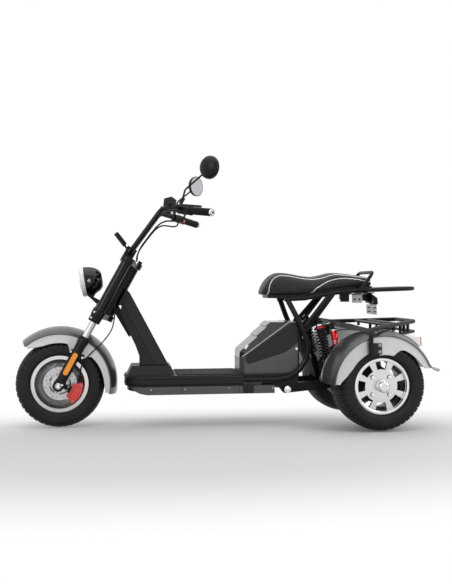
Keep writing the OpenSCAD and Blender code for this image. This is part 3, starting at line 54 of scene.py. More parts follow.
# %% Camera
IMAGE_H = 584
FOCAL_PX = 756
SENSOR_W = 36
CAMERA_AT = Vector((-0.5006, -3.874, 0.6893))
CAMERA_LOOKS = Vector((0.1336, 0.9910, -0.0054))

camera_data = bpy.data.cameras.new("camera")
camera_data.sensor_width = SENSOR_W
camera_data.lens = FOCAL_PX / IMAGE_H * SENSOR_W
camera = bpy.data.objects.new("camera", camera_data)
camera.location = CAMERA_AT
camera.rotation_euler = CAMERA_LOOKS.to_track_quat("-Z", "Y").to_euler()
bpy.context.scene.collection.objects.link(camera)
bpy.context.scene.camera = camera
print("lens", round(camera_data.lens, 1), "mm")

# %% [markdown]
# ## Studio
# The real scooter stands on a pale studio floor that fades to white. More light would bleach the paint, so
# the white comes from colour: the floor turns to plain white away from the scooter, and the world is white
# to the camera and to reflections but gives only soft light to the surfaces.

# %% Node helpers
bpy.context.scene.view_settings.view_transform = "Standard"


def link_in(tree, node, socket, value):
    """Sets a node's input, or links another node's output to it."""
    if isinstance(value, bpy.types.NodeSocket):
        tree.links.new(value, node.inputs[socket])
    else:
        node.inputs[socket].default_value = value


def add_node(tree, kind, settings=None, **inputs):
    """A shader node; underscores in input names stand for spaces, and i0, i1 and i2 for an input's number."""
    node = tree.nodes.new("ShaderNode" + kind)
    for key, value in (settings or {}).items():
        setattr(node, key, value)
    for socket, value in inputs.items():
        numbered = socket[0] == "i" and socket[1:].isdigit()
        link_in(tree, node, int(socket[1:]) if numbered else socket.replace("_", " "), value)
    return node


def maths(tree, operation, first, second):
    """One sum or product of two numbers or fields."""
    return add_node(tree, "Math", {"operation": operation}, i0=first, i1=second).outputs[0]


def seen_rays(tree):
    """1 for camera, glossy and transmission rays, which see the white background."""
    path = add_node(tree, "LightPath")
    seen = maths(tree, "MAXIMUM", path.outputs["Is Camera Ray"], path.outputs["Is Glossy Ray"])
    return maths(tree, "MAXIMUM", seen, path.outputs["Is Transmission Ray"])


print("node helpers ready")

# %% White world
WHITE = (1, 1, 1, 1)
WORLD_LIGHT = 0.7

world = bpy.data.worlds.new("studio")
bpy.context.scene.world = world
world.use_nodes = True
sky = world.node_tree
sky.nodes.clear()
soft = add_node(sky, "Background", Color=WHITE, Strength=WORLD_LIGHT)
white = add_node(sky, "Background", Color=WHITE, Strength=1.0)
sky_mix = add_node(sky, "MixShader", Fac=seen_rays(sky), i1=soft.outputs[0], i2=white.outputs[0])
add_node(sky, "OutputWorld", Surface=sky_mix.outputs[0])
print("world light", WORLD_LIGHT)

# %% Floor that fades to white
FLOOR_SIZE = 60
FLOOR_TONE = (0.50, 0.50, 0.50, 1)
FADE_STRETCH, FADE_SHIFT = (0.35, 0.80, 1), (0.07, 0.52, 0)
FADE_FROM, FADE_TO = 0.30, 0.95

bpy.ops.mesh.primitive_plane_add(size=FLOOR_SIZE)
floor = bpy.context.object
floor.name = "floor"
floor_mat = bpy.data.materials.new("pale studio floor")
floor_mat.use_nodes = True
tree = floor_mat.node_tree
tree.nodes.clear()
place = add_node(tree, "TexCoord").outputs["Object"]
stretched = add_node(tree, "Mapping", Vector=place, Scale=FADE_STRETCH, Location=FADE_SHIFT).outputs[0]
far = add_node(tree, "VectorMath", {"operation": "LENGTH"}, i0=stretched).outputs["Value"]
fade = add_node(tree, "MapRange", {"interpolation_type": "SMOOTHSTEP"}, Value=far, From_Min=FADE_FROM,
                From_Max=FADE_TO)
matte = add_node(tree, "BsdfDiffuse", Color=FLOOR_TONE)
glow = add_node(tree, "Emission", Color=WHITE, Strength=1.0)
shown = maths(tree, "MULTIPLY", fade.outputs[0], seen_rays(tree))
floor_mix = add_node(tree, "MixShader", Fac=shown, i1=matte.outputs[0], i2=glow.outputs[0])
add_node(tree, "OutputMaterial", Surface=floor_mix.outputs[0])
floor.data.materials.append(floor_mat)
print("floor", FLOOR_SIZE, "m wide")

# %% Soft lamps
# Name, place, point it looks at, size and watts
LAMPS = [
    ("overhead softbox", (0, -0.4, 3.6), (0, 0, 0.4), (5.0, 3.6), 85),
    ("front softbox", (-2.6, -3.0, 2.2), (-0.2, 0, 0.5), (1.8, 1.8), 45),
    ("rear softbox", (3.0, -2.2, 1.8), (0.4, 0, 0.5), (1.6, 1.6), 40)]

for name, at, aim, size, watts in LAMPS:
    data = bpy.data.lights.new(name, "AREA")
    data.shape = "RECTANGLE"
    data.size, data.size_y = size
    data.energy = watts
    softbox = bpy.data.objects.new(name, data)
    softbox.location = at
    softbox.rotation_euler = (Vector(aim) - Vector(at)).to_track_quat("-Z", "Y").to_euler()
    bpy.context.scene.collection.objects.link(softbox)
print("soft lamps:", len(LAMPS))

# %% [markdown]
# ## Finishes
# Most surfaces here are paint, moulded plastic, rubber or metal. Each real one varies a little: tone and
# gloss drift over centimetres, and a fine grain or orange peel breaks the reflections. One function makes
# that recipe from two noise fields, and each finish only states its own tone, gloss and grain.

# %% Fields of noise
SLOW_DETAIL, FINE_DETAIL, NOISE_ROUGHNESS = 4.0, 2.0, 0.55
FIELD_LOW, FIELD_HIGH = 0.3, 0.7
MICRON = 1e-6


def noise(tree, at, scale, detail=SLOW_DETAIL):
    """A noise field of so many bumps to the metre."""
    field = add_node(tree, "TexNoise", Vector=at, Scale=scale, Detail=detail, Roughness=NOISE_ROUGHNESS)
    return field.outputs[0]


def start_finish(name):
    """A new material with its tree, its main shader and object coordinates in metres."""
    mat = bpy.data.materials.new(name)
    mat.use_nodes = True
    tree = mat.node_tree
    shader = tree.nodes["Principled BSDF"]
    at = add_node(tree, "TexCoord").outputs["Object"]
    return mat, tree, shader, at


def shades(tree, field, dark, light):
    """A colour that runs from dark to light over a noise field."""
    ramp = add_node(tree, "ValToRGB", Fac=field)
    for stop, position, tone in zip(ramp.color_ramp.elements, (FIELD_LOW, FIELD_HIGH), (dark, light)):
        stop.position = position
        stop.color = (*tone, 1)
    return ramp.outputs["Color"]


def spread(tree, field, low, high):
    """A number that runs from low to high over a noise field."""
    ends = {"From_Min": FIELD_LOW, "From_Max": FIELD_HIGH, "To_Min": low, "To_Max": high}
    return add_node(tree, "MapRange", Value=field, **ends).outputs[0]


def roughen(tree, shader, height, microns, strength=1.0):
    """Bump of a real depth."""
    bump = add_node(tree, "Bump", Height=height, Strength=strength, Distance=microns * MICRON)
    tree.links.new(bump.outputs[0], shader.inputs["Normal"])


print("fields of noise ready")

# %% A recipe for finishes
COAT_GLOSS = 0.06


def finish(name, tone, gloss, metal=0.0, drift=0.15, drift_scale=9.0, grain=900.0, depth=40,
           stretch=(1, 1, 1), coat=0.0, spec=0.5):
    """A finish with a tone, a roughness range and a grain; stretch draws the grain out along an axis."""
    mat, tree, shader, at = start_finish(name)
    drawn = add_node(tree, "Mapping", Vector=at, Scale=stretch).outputs[0]
    slow = noise(tree, at, drift_scale)
    fine = noise(tree, drawn, grain, FINE_DETAIL)
    dark = [c * (1 - drift) for c in tone]
    light = [min(1.0, c * (1 + drift)) for c in tone]
    blend = maths(tree, "MULTIPLY", maths(tree, "ADD", slow, fine), 0.5)
    settings = {
        "Base Color": shades(tree, slow, dark, light), "Roughness": spread(tree, blend, *gloss),
        "Metallic": metal, "Coat Weight": coat, "Coat Roughness": COAT_GLOSS, "Specular IOR Level": spec}
    for socket, value in settings.items():
        link_in(tree, shader, socket, value)
    roughen(tree, shader, fine, depth)
    return mat


print("recipe for finishes ready")

# %% [markdown]
# ## Metals, paints, plastics and rubber
# The fork legs, racks and frame carry satin black paint; the fenders a metallic grey under clear coat; the
# rims are polished alloy, where fine turning lines stretch the highlights; the deck and column are grained
# plastic. Each finish is a tone, a range of roughness, and bumps to the metre with their depth in microns.

# %% Paints and metals
satin_black = finish("satin black paint", (0.0065, 0.0065, 0.007), (0.22, 0.34), grain=700, depth=30,
                     spec=0.16)
fork_black = finish("gloss black fork paint", (0.004, 0.004, 0.0045), (0.14, 0.24), grain=500, depth=20,
                    spec=0.22)
gunmetal = finish("gunmetal metallic paint", (0.075, 0.076, 0.078), (0.28, 0.40), metal=0.75, drift=0.06,
                  grain=2600, depth=20, coat=0.35)
silver_paint = finish("light silver paint", (0.50, 0.50, 0.505), (0.32, 0.44), metal=0.6, drift=0.05,
                      grain=2600, depth=20, coat=0.6)
polished = finish("polished alloy", (0.70, 0.69, 0.68), (0.12, 0.24), metal=1.0, drift=0.05, grain=420,
                  depth=20, stretch=(1, 6, 1))
ground_steel = finish("ground disc steel", (0.58, 0.58, 0.59), (0.22, 0.36), metal=1.0, drift=0.08, grain=800,
                      depth=30)
chrome = finish("chrome plate", (0.78, 0.78, 0.79), (0.04, 0.10), metal=1.0, drift=0.02, grain=300, depth=10)
zinc = finish("zinc plate", (0.34, 0.34, 0.33), (0.30, 0.48), metal=0.9, drift=0.14, drift_scale=40)
red_paint = finish("gloss red paint", (0.62, 0.018, 0.016), (0.20, 0.30), drift=0.08, grain=600, depth=20,
                   coat=0.8)
red_alloy = finish("red anodised alloy", (0.60, 0.012, 0.018), (0.18, 0.30), metal=0.8, drift=0.06, depth=20,
                   coat=0.3)
casting = finish("painted casting", (0.016, 0.016, 0.017), (0.45, 0.62), grain=260, depth=120, spec=0.2)
print("paints and metals ready")

# %% Plastics and rubber
grained_plastic = finish("grained dark plastic", (0.0115, 0.0115, 0.0118), (0.36, 0.50), drift=0.14,
                         grain=1500, depth=60, spec=0.2)
control_plastic = finish("fine black plastic", (0.005, 0.005, 0.0055), (0.30, 0.44), drift=0.10, grain=1800,
                         spec=0.18)
shell_black = finish("gloss black shell", (0.004, 0.004, 0.005), (0.06, 0.12), drift=0.05, grain=300,
                     depth=10, spec=0.3)
panel_dark = finish("dark side panel", (0.0135, 0.0133, 0.0130), (0.26, 0.38), drift=0.12, grain=1300,
                    spec=0.24)
panel_grey = finish("grey side panel", (0.058, 0.058, 0.059), (0.34, 0.46), metal=0.25, drift=0.08,
                    grain=1600, depth=30, coat=0.2)
soft_rubber = finish("moulded rubber", (0.007, 0.007, 0.007), (0.55, 0.72), drift=0.18, grain=1100, depth=80,
                     spec=0.16)
mat_rubber = finish("mat rubber", (0.012, 0.012, 0.013), (0.50, 0.66), drift=0.18, grain=700, depth=120,
                    spec=0.3)
white_plastic = finish("white lamp plastic", (0.74, 0.73, 0.72), (0.22, 0.34), drift=0.03, grain=500,
                       depth=20, coat=0.3)
cover_gloss = finish("gloss box cover", (0.009, 0.009, 0.0095), (0.14, 0.24), drift=0.08, depth=20, coat=0.3)
print("hard finishes:", len(bpy.data.materials) - 1)

# %% [markdown]
# ## Glass, lenses and mirrors
# The lamp has a clear lens over a dark projector in a bright ring, the reflectors are amber and the tail
# lamps red. Coloured lenses are plastic that lets light through, so they take transmission with a tint rather
# than a painted colour.

# %% Finishes of the lenses
LENS_IOR, LENS_SHADE = 1.49, 0.92
RIPPLE_SCALE, RIPPLE_DEPTH, LENS_DRIFT_SCALE = 240.0, 20, 18.0


def lens_finish(name, tone, gloss, through):
    """Clear or coloured lens plastic with faint moulding ripples."""
    mat, tree, shader, at = start_finish(name)
    ripple = noise(tree, at, RIPPLE_SCALE, FINE_DETAIL)
    slow = noise(tree, at, LENS_DRIFT_SCALE)
    link_in(tree, shader, "Base Color", shades(tree, slow, [c * LENS_SHADE for c in tone], tone))
    link_in(tree, shader, "Roughness", spread(tree, ripple, *gloss))
    link_in(tree, shader, "Transmission Weight", through)
    link_in(tree, shader, "IOR", LENS_IOR)
    roughen(tree, shader, ripple, RIPPLE_DEPTH)
    return mat


clear_lens = lens_finish("clear lamp glass", (0.80, 0.82, 0.84), (0.04, 0.12), 0.2)
amber_lens = lens_finish("amber reflector", (0.95, 0.34, 0.02), (0.10, 0.22), 0.25)
red_lens = lens_finish("red tail lens", (0.60, 0.012, 0.014), (0.08, 0.18), 0.3)
screen_glass = finish("dark display glass", (0.008, 0.009, 0.011), (0.04, 0.10), drift=0.05, grain=200,
                      depth=10, coat=1.0)
# The mirror glass is toned down to mid grey: painted shade standing in for the darker surroundings it
# reflects.
mirror_glass = finish("silvered glass with painted shade", (0.50, 0.51, 0.53), (0.01, 0.03), metal=1.0, drift=0.02, grain=60,
                      depth=10)
print("lens finishes ready")

# %% [markdown]
# ## Dressing the solids
# Solids whose shape is already right only need a finish. Edges of moulded and machined pieces are never
# sharp, so a small bevel catches a line of light along them. The solids' own points stay untouched: weld
# and bevel are modifiers.

# %% Give each solid its finish
finished_nodes = [
    (polished, "front_rim rear_left_rim rear_right_rim"),
    (ground_steel, "brake_disc stanchions"),
    (zinc, "front_axle steering_stem"),
    (fork_black, "fork_legs"),
    (satin_black, "lower_yoke upper_yoke bar_clamp handlebar headlamp_bracket caliper head_tube"),
    (satin_black, "rear_frame grab_rail rack_brackets lower_rack swing_arm shocks shock_springs"),
    (soft_rubber, "grips brake_hose bar_cables saddle front_tyre rear_left_tyre rear_right_tyre"),
    (control_plastic, "bar_controls mirrors display"),
    (mirror_glass, "mirror_glasses"),
    (shell_black, "headlamp"),
    (clear_lens, "headlamp_lens"),
    (amber_lens, "fork_reflectors"),
    (gunmetal, "front_fender rear_left_fender rear_right_fender"),
    (grained_plastic, "column deck inner_mudguard"),
    (mat_rubber, "deck_mat"),
    (panel_grey, "side_skirts battery_box rack_tray"),
    (cover_gloss, "box_cover"),
    (white_plastic, "tail_lamps"),
    (casting, "rear_axle")]

dressed = 0
for mat, names in finished_nodes:
    for name in names.split():
        nodes[name].data.materials.clear()
        nodes[name].data.materials.append(mat)
        dressed += 1
print("dressed", dressed, "solids")

# %% Ease the sharp edges
WELD_REACH = 0.00002
BEVEL_ANGLE, BEVEL_SEGMENTS = 35.0, 2
BEVEL_WIDTHS = {
    "column": 0.004, "deck": 0.003, "battery_box": 0.003, "tail_lamps": 0.003, "side_skirts": 0.002,
    "lower_yoke": 0.002, "upper_yoke": 0.002, "display": 0.0015}

for name, width in BEVEL_WIDTHS.items():
    weld = nodes[name].modifiers.new("weld", "WELD")
    weld.merge_threshold = WELD_REACH
    bevel = nodes[name].modifiers.new("bevel", "BEVEL")
    bevel.width = width
    bevel.segments = BEVEL_SEGMENTS
    bevel.limit_method = "ANGLE"
    bevel.angle_limit = math.radians(BEVEL_ANGLE)
    bevel.harden_normals = False
print("eased the edges of", len(BEVEL_WIDTHS), "solids")

# %% [markdown]
# ## Building meshes from grids
# Tyres, fenders, the saddle and trim are all skins over rings of points. A helper turns a grid of points
# into a mesh, closing it round where asked, so each piece below only has to say where its points lie.

# %% Grid helper
MM = 0.001
SIDES = ((-1, "left"), (1, "right"))


def make_piece(name, points, faces, mat, body, slot, smooth):
    """A mesh piece from points in millimetres that rides on a body; edges sharper than smooth stay sharp."""
    mesh = bpy.data.meshes.new(name)
    mesh.from_pydata((np.asarray(points, float) * MM).tolist(), [], [list(map(int, f)) for f in faces])
    bm = bmesh.new()
    bm.from_mesh(mesh)
    bmesh.ops.recalc_face_normals(bm, faces=bm.faces)
    bm.to_mesh(mesh)
    bm.free()
    obj = bpy.data.objects.new(name, mesh)
    bpy.context.scene.collection.objects.link(obj)
    mesh.materials.append(mat)
    mesh.shade_smooth()
    mesh.set_sharp_from_angle(angle=math.radians(smooth))
    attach(obj, body)
    return obj


def grid_faces(rows, columns, wrap_rows=False, wrap_columns=False):
    """Quads of a grid of points that is stored row by row."""
    row_count = rows if wrap_rows else rows - 1
    column_count = columns if wrap_columns else columns - 1
    i, k = np.meshgrid(np.arange(row_count), np.arange(column_count), indexing="ij")
    i2, k2 = (i + 1) % rows, (k + 1) % columns
    quads = np.stack([i * columns + k, i * columns + k2, i2 * columns + k2, i2 * columns + k], axis=-1)
    return quads.reshape(-1, 4).tolist()


def closed_sweep(rows, columns):
    """Faces of a swept closed section with both of its ends capped."""
    last = (rows - 1) * columns
    return grid_faces(rows, columns, False, True) + [list(range(columns)), [last + k for k in range(columns)]]


def signed_power(v, e):
    """A power that keeps the sign, which squares off a round section."""
    return np.sign(v) * np.abs(v) ** e


print("grid helper ready")

# %% [markdown]
# ## Tyres
# The wide tyres have a road tread: a zigzag groove each side of the middle and slots that run out over the
# shoulders. The tread could be a bump map, but its blocks show in the outline, so it is cut into the mesh:
# the section is swept round the axle and points in a groove are pushed in.

# %% Tyre section
TYRE_R, TYRE_W, BEAD_R, FLANGE_R, BEAD_Y = 217.0, 221.6, 127.3, 139.9, 79.6
WIDE_SHARE, SECTION_POWER = 0.46, 0.62
SECTION_TURN, EVEN_SHARE, CUBED_SHARE = 123.0, 0.72, 0.28


def tyre_section(count):
    """Radius and place along the axle of the tyre's outside, from bead to bead."""
    wide_r = BEAD_R + (TYRE_R - BEAD_R) * WIDE_SHARE
    turn = np.linspace(-1, 1, count)
    turn = np.radians(SECTION_TURN) * (EVEN_SHARE * turn + CUBED_SHARE * turn ** 3)
    up = np.cos(turn)
    span = np.where(up > 0, TYRE_R - wide_r, wide_r - BEAD_R)
    radius = wide_r + span * signed_power(up, SECTION_POWER)
    return radius, TYRE_W / 2 * signed_power(np.sin(turn), SECTION_POWER)


print("tyre", 2 * TYRE_R, "x", TYRE_W, "mm")

# %% Tread pattern
PITCHES, ZIGZAG = 44, 5.0
GROOVE_DEPTH, SLOT_DEPTH, SIPE_DEPTH, WALL_RING_H = 4.5, 5.0, 2.5, 1.0
# Grooves: distance from the tyre's middle; then half width and wall, as for slots, sipes and wall rings
MIDDLE_GROOVE_Y, MIDDLE_GROOVE = 24, (2.6, 2.2)
OUTER_GROOVE_Y, OUTER_GROOVE, OUTER_SHARE = 60, (1.6, 2.0), 0.7
SLOT_CUT, SIPE_CUT = (2.4, 2.2), (0.8, 1.8)
SLOT_LEAN_FROM, SLOT_LEAN = 30, 0.0042
# Where slots and sipes begin, and over what run: distance from the middle, then radius
SLOT_BEGINS, SIPE_BEGINS = ((34, 4), (186, 8)), ((66, 4), (196, 6))
LOW_RING_R, LOW_RING, HIGH_RING_R, HIGH_RING, WALL_Y = 151, (1.2, 1.5), 180, (1.0, 1.5), 80


def notch(distance, half_width, edge):
    """1 inside a groove, 0 outside it, with sloping walls."""
    return np.clip((half_width + edge - np.abs(distance)) / edge, 0, 1)


def begins(v, start, run):
    """0 up to a start, then rising to 1 over a run."""
    return np.clip((v - start) / run, 0, 1)


def tread_depth(around, along, radius):
    """How far each point is pushed in, from its place round the tyre, along the axle and its radius."""
    pitch = 360.0 / PITCHES
    arc_mm = math.radians(pitch) * TYRE_R
    phase = (around / pitch) % 1.0
    side = np.abs(along)
    zigzag = ZIGZAG * (np.abs(phase * 2 - 1) * 2 - 1)
    depth = GROOVE_DEPTH * notch(side - MIDDLE_GROOVE_Y - zigzag, *MIDDLE_GROOVE)
    outer = OUTER_SHARE * GROOVE_DEPTH * notch(side - OUTER_GROOVE_Y + zigzag, *OUTER_GROOVE)
    depth = np.maximum(depth, outer)
    slot_phase = (phase + (side - SLOT_LEAN_FROM) * SLOT_LEAN + np.where(along > 0, 0.5, 0.0)) % 1.0
    reach = begins(side, *SLOT_BEGINS[0]) * begins(radius, *SLOT_BEGINS[1])
    slot_cut = SLOT_DEPTH * notch((slot_phase - 0.5) * arc_mm, *SLOT_CUT) * reach
    sipe_phase = (slot_phase + 0.5) % 1.0
    sipe = SIPE_DEPTH * notch((sipe_phase - 0.5) * arc_mm, *SIPE_CUT)
    sipe = sipe * begins(side, *SIPE_BEGINS[0]) * begins(radius, *SIPE_BEGINS[1])
    wall_rings = notch(radius - LOW_RING_R, *LOW_RING) + notch(radius - HIGH_RING_R, *HIGH_RING)
    return np.maximum(depth, np.maximum(slot_cut, sipe)) - WALL_RING_H * wall_rings * (side > WALL_Y)


print("tread of", PITCHES, "pitches")

# %% [markdown]
# Tyre rubber is dark grey rather than black, with a roughness that drifts at random over the whole tyre.
# Each tyre stands for its plain solid, and a hair's breadth keeps the lowest points off the floor.

# %% Tyre rubber and the three tyres
FRONT_X, REAR_X, AXLE_Z, TRACK = -814.5, 725.5, 217.0, 606.0
TREAD_STEPS, TREAD_COLUMNS = 528, 78
FLOOR_GAP, TREAD_SHARP = 0.05, 40
front_centre = (FRONT_X, 0, AXLE_Z)
tyre_rubber = finish("tyre rubber", (0.0105, 0.0100, 0.0095), (0.46, 0.66), drift=0.25, drift_scale=14,
                     grain=500, depth=120, spec=0.2)


def treaded_tyre(name, centre, body, node):
    """A tyre about the Y axis, standing for its plain solid."""
    radius, along = tyre_section(TREAD_COLUMNS)
    slope_r, slope_y = np.gradient(radius), np.gradient(along)
    length = np.hypot(slope_r, slope_y)
    out_r, out_y = slope_y / length, -slope_r / length
    angles = np.arange(TREAD_STEPS) * 360.0 / TREAD_STEPS
    cut = tread_depth(angles[:, None], along[None, :], radius[None, :])
    ring_r = np.repeat(radius[None, :], TREAD_STEPS, 0) - cut * out_r
    ring_y = np.repeat(along[None, :], TREAD_STEPS, 0) - cut * out_y
    bead = np.array([[FLANGE_R, BEAD_Y], [BEAD_R, BEAD_Y], [BEAD_R, -BEAD_Y], [FLANGE_R, -BEAD_Y]])
    ring_r = np.hstack([ring_r, np.repeat(bead[None, :, 0], TREAD_STEPS, 0)])
    ring_y = np.hstack([ring_y, np.repeat(bead[None, :, 1], TREAD_STEPS, 0)])
    a = np.radians(angles)[:, None]
    points = np.stack([ring_r * np.cos(a), ring_y, ring_r * np.sin(a)], -1).reshape(-1, 3) + np.array(centre)
    points[:, 2] = np.maximum(points[:, 2], FLOOR_GAP)
    faces = grid_faces(TREAD_STEPS, ring_r.shape[1], True, True)
    tyre = make_piece(name, points, faces, tyre_rubber, body, "tyre", TREAD_SHARP)
    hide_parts(node)


treaded_tyre("tread_front", front_centre, "front_wheel", "front_tyre")
for side, word in SIDES:
    rear_centre = (REAR_X, side * TRACK / 2, AXLE_Z)
    treaded_tyre(f"tread_rear_{word}", rear_centre, f"rear_{word}_wheel", f"rear_{word}_tyre")
print("tyres with", TREAD_STEPS, "steps round")

# %% [markdown]
# ## Fenders
# Each fender is a crowned steel band with a turned-down edge, and a lighter plate down each side. Pressing
# a flat sheet in the modeller would give lumpy edges, so the band is swept round the axle from its own
# section, and the plates follow a line of radii that was read off the real ones. The rear bands flare out
# at the tail.

# %% Fender bands
SHEET_T, LIP_H, FENDER_SHARP = 3.0, 5.0, 50
BAND_STEPS, TAIL_STEPS, ACROSS_STEPS = 97, 33, 29
TAIL_TIP, TAIL_FLATTENS = 0.9995, 0.7


def band_radius(half_w, edge_r, crown_r, y):
    """Radius of a crowned band's outside at a distance from its middle."""
    drop = crown_r - edge_r
    big = (half_w ** 2 + drop ** 2) / (2 * drop)
    return crown_r - big + np.sqrt(big ** 2 - y ** 2)


def tail_curve(start, out, end):
    """A band's tail: points and outward ways of a bend from its end, and how far along it each lies."""
    t = np.linspace(0, 1, TAIL_STEPS)[1:, None]
    bend = start + np.array([out[1], -out[0]]) * (start[1] - end[1]) / out[0]
    curve = (1 - t) ** 2 * start + 2 * t * (1 - t) * bend + t ** 2 * end
    way = 2 * (1 - t) * (bend - start) + 2 * t * (end - bend)
    way /= np.linalg.norm(way, axis=1)[:, None]
    along = np.clip((curve[:, 0] - start[0]) / (end[0] - start[0]), 0, TAIL_TIP)
    return curve, np.stack([-way[:, 1], way[:, 0]], -1), along


def fender_band(name, centre, half_w, edge_r, crown_r, ends, body, node, tail=None):
    """A crowned band about the axle; a tail's reach and height add a rounded end that turns outwards."""
    angles = np.radians(np.linspace(ends[1], ends[0], BAND_STEPS))
    out = np.stack([np.cos(angles), np.sin(angles)], -1)
    middle = crown_r * out
    wide, flat = np.ones(BAND_STEPS), np.zeros(BAND_STEPS)
    if tail:
        curve, curve_out, along = tail_curve(middle[-1], out[-1], np.array(tail))
        middle, out = np.concatenate([middle, curve]), np.concatenate([out, curve_out])
        wide = np.concatenate([wide, np.sqrt(1 - along ** 2)])
        flat = np.concatenate([flat, along ** TAIL_FLATTENS])
    across = np.sin(np.linspace(-1, 1, ACROSS_STEPS) * math.pi / 2)
    drop = crown_r - band_radius(half_w, edge_r, crown_r, half_w * across)
    lip = drop[0] + LIP_H
    section_y = half_w * np.concatenate([[-1], across, [1], across[::-1] * (1 - SHEET_T / half_w)])
    section_d = np.concatenate([[lip], drop, [lip], drop[::-1]])
    sheet = np.concatenate([np.zeros(ACROSS_STEPS + 2), np.full(ACROSS_STEPS, SHEET_T)])
    depth = section_d[None, :] * (1 - flat)[:, None] + sheet[None, :]
    flat_points = middle[:, None, :] - depth[:, :, None] * out[:, None, :]
    y = section_y[None, :] * wide[:, None]
    points = np.stack([flat_points[..., 0], y, flat_points[..., 1]], -1).reshape(-1, 3) + np.array(centre)
    faces = closed_sweep(len(middle), len(section_y))
    band = make_piece(name, points, faces, gunmetal, body, "fender_grey", FENDER_SHARP)
    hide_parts(node)


print("fender bands ready")

# %% Fender side plates
SKIRT_Y, SKIRT_STEPS, EDGE_ROLL, NECK_SHARE = 116.0, 150, 2.6, 3
EASE_STEPS, ROLL_STEPS = 9, 7
LEVEL_FROM = 45


def smooth_line(keys, samples):
    """A line through (angle, radius) keys, eased so that it has no corners."""
    angles = np.linspace(keys[0][0], keys[-1][0], samples)
    radii = np.interp(angles, [k[0] for k in keys], [k[1] for k in keys])
    kernel = np.hanning(EASE_STEPS) / np.hanning(EASE_STEPS).sum()
    padded = np.pad(radii, EASE_STEPS // 2, mode="edge")
    return angles, np.convolve(padded, kernel, "valid")


def fender_skirt(name, centre, side, outer_r, keys, body, level=0.0):
    """A side plate; level turns its rear end so that the lower edge there runs level."""
    angles, inner = smooth_line(keys, SKIRT_STEPS)
    half = SHEET_T / 2
    turn = np.linspace(0, math.pi, ROLL_STEPS)
    roll_r = inner[:, None] + EDGE_ROLL - EDGE_ROLL * np.sin(turn)[None, :]
    roll_y = np.broadcast_to(EDGE_ROLL * np.cos(turn), roll_r.shape)
    top = np.full((len(angles), 1), outer_r)
    neck = inner[:, None] + NECK_SHARE * EDGE_ROLL
    section_r = np.hstack([top, neck, roll_r, neck, top])
    flat = np.full((len(angles), 1), half)
    section_y = np.hstack([flat, flat, roll_y, -flat, -flat]) + side * (SKIRT_Y + half)
    rearward = np.clip((LEVEL_FROM - angles) / (LEVEL_FROM - angles[0]), 0, 1)[:, None]
    lean = level * rearward * (section_r - inner[:, None])
    a = np.radians(angles[:, None] - lean / (outer_r - inner[:, None]))
    points = np.stack([section_r * np.cos(a), section_y, section_r * np.sin(a)], -1).reshape(-1, 3)
    faces = closed_sweep(len(angles), section_r.shape[1])
    make_piece(name, points + np.array(centre), faces, silver_paint, body, "fender_grey", FENDER_SHARP)


print("fender side plates ready")

# %% Front and rear fenders
# Half width, edge radius, crown radius and end angles
FRONT_BAND, REAR_BAND = (122, 250, 281, (-11.5, 131)), (124, 246, 274, (24, 177))
REAR_TAIL, REAR_LEVEL = (305.5, 78.0), 2.6
# Radius at the top of the plates, and angle and radius along their lower edge
FRONT_SKIRT_R, REAR_SKIRT_R = 251.5, 247.0
FRONT_SKIRT = [(-10.8, 226), (0, 217), (25, 210), (42, 204), (48, 162), (72, 162), (78, 203), (112, 203),
               (121, 212), (130, 232)]
REAR_SKIRT = [(23.5, 219), (30, 208), (60, 200), (67, 188), (73, 153), (108, 153), (113, 177), (152, 178),
              (165, 192), (176, 219)]

fender_band("fender_band_front", front_centre, *FRONT_BAND, "steering", "front_fender")
for side, word in SIDES:
    fender_skirt(f"fender_skirt_front_{word}", front_centre, side, FRONT_SKIRT_R, FRONT_SKIRT, "steering")
for side, word in SIDES:
    centre = (REAR_X, side * TRACK / 2, AXLE_Z)
    fender_band(f"fender_band_rear_{word}", centre, *REAR_BAND, "chassis", f"rear_{word}_fender", REAR_TAIL)
    for face, face_word in ((-1, "a"), (1, "b")):
        name = f"fender_skirt_rear_{word}_{face_word}"
        fender_skirt(name, centre, face, REAR_SKIRT_R, REAR_SKIRT, "chassis", REAR_LEVEL)
print("fenders ready")

# %% [markdown]
# ## Saddle
# The real saddle is foam under stretched leather: crowned across, pulled in where it meets its base, with a
# high nose, a dip and a second hump. The shape starts as rings along its length, set a little inside the
# solid, and a short cloth simulation with pressure lets the cover swell and soften. The base rows stay
# pinned, as staples hold a real cover to its pan.

# %% Leather
PEBBLE_SCALE, PEBBLE_EDGE, CREASE_SCALE = 520.0, 0.25, 16.0
LEATHER_DARK, LEATHER_LIGHT, LEATHER_GLOSS = 0.8, 1.25, (0.40, 0.54)
LEATHER_SHEEN, LEATHER_SPEC, PEBBLE_DEPTH, PEBBLE_STRENGTH = 0.08, 0.26, 250, 0.7


def leather_finish(name, tone):
    """Grained leather: pebbles from cell edges, slow creases and a faint sheen."""
    mat, tree, shader, at = start_finish(name)
    cells = add_node(tree, "TexVoronoi", {"feature": "DISTANCE_TO_EDGE"}, Vector=at, Scale=PEBBLE_SCALE,
                     Randomness=1.0)
    pebble = add_node(tree, "MapRange", Value=cells.outputs["Distance"], From_Max=PEBBLE_EDGE).outputs[0]
    slow = noise(tree, at, CREASE_SCALE)
    dark, light = [c * LEATHER_DARK for c in tone], [c * LEATHER_LIGHT for c in tone]
    link_in(tree, shader, "Base Color", shades(tree, slow, dark, light))
    link_in(tree, shader, "Roughness", spread(tree, slow, *LEATHER_GLOSS))
    link_in(tree, shader, "Sheen Weight", LEATHER_SHEEN)
    link_in(tree, shader, "Specular IOR Level", LEATHER_SPEC)
    roughen(tree, shader, maths(tree, "ADD", pebble, slow), PEBBLE_DEPTH, PEBBLE_STRENGTH)
    return mat


black_leather = leather_finish("black grained leather", (0.0125, 0.0125, 0.0135))
white_piping = finish("white vinyl piping", (0.72, 0.72, 0.71), (0.34, 0.48), drift=0.06, depth=50)
print("leather ready")

# %% Saddle shape
WHEELBASE, SEAT_H, SADDLE_HALF = 1540.0, 767.0, 128.0
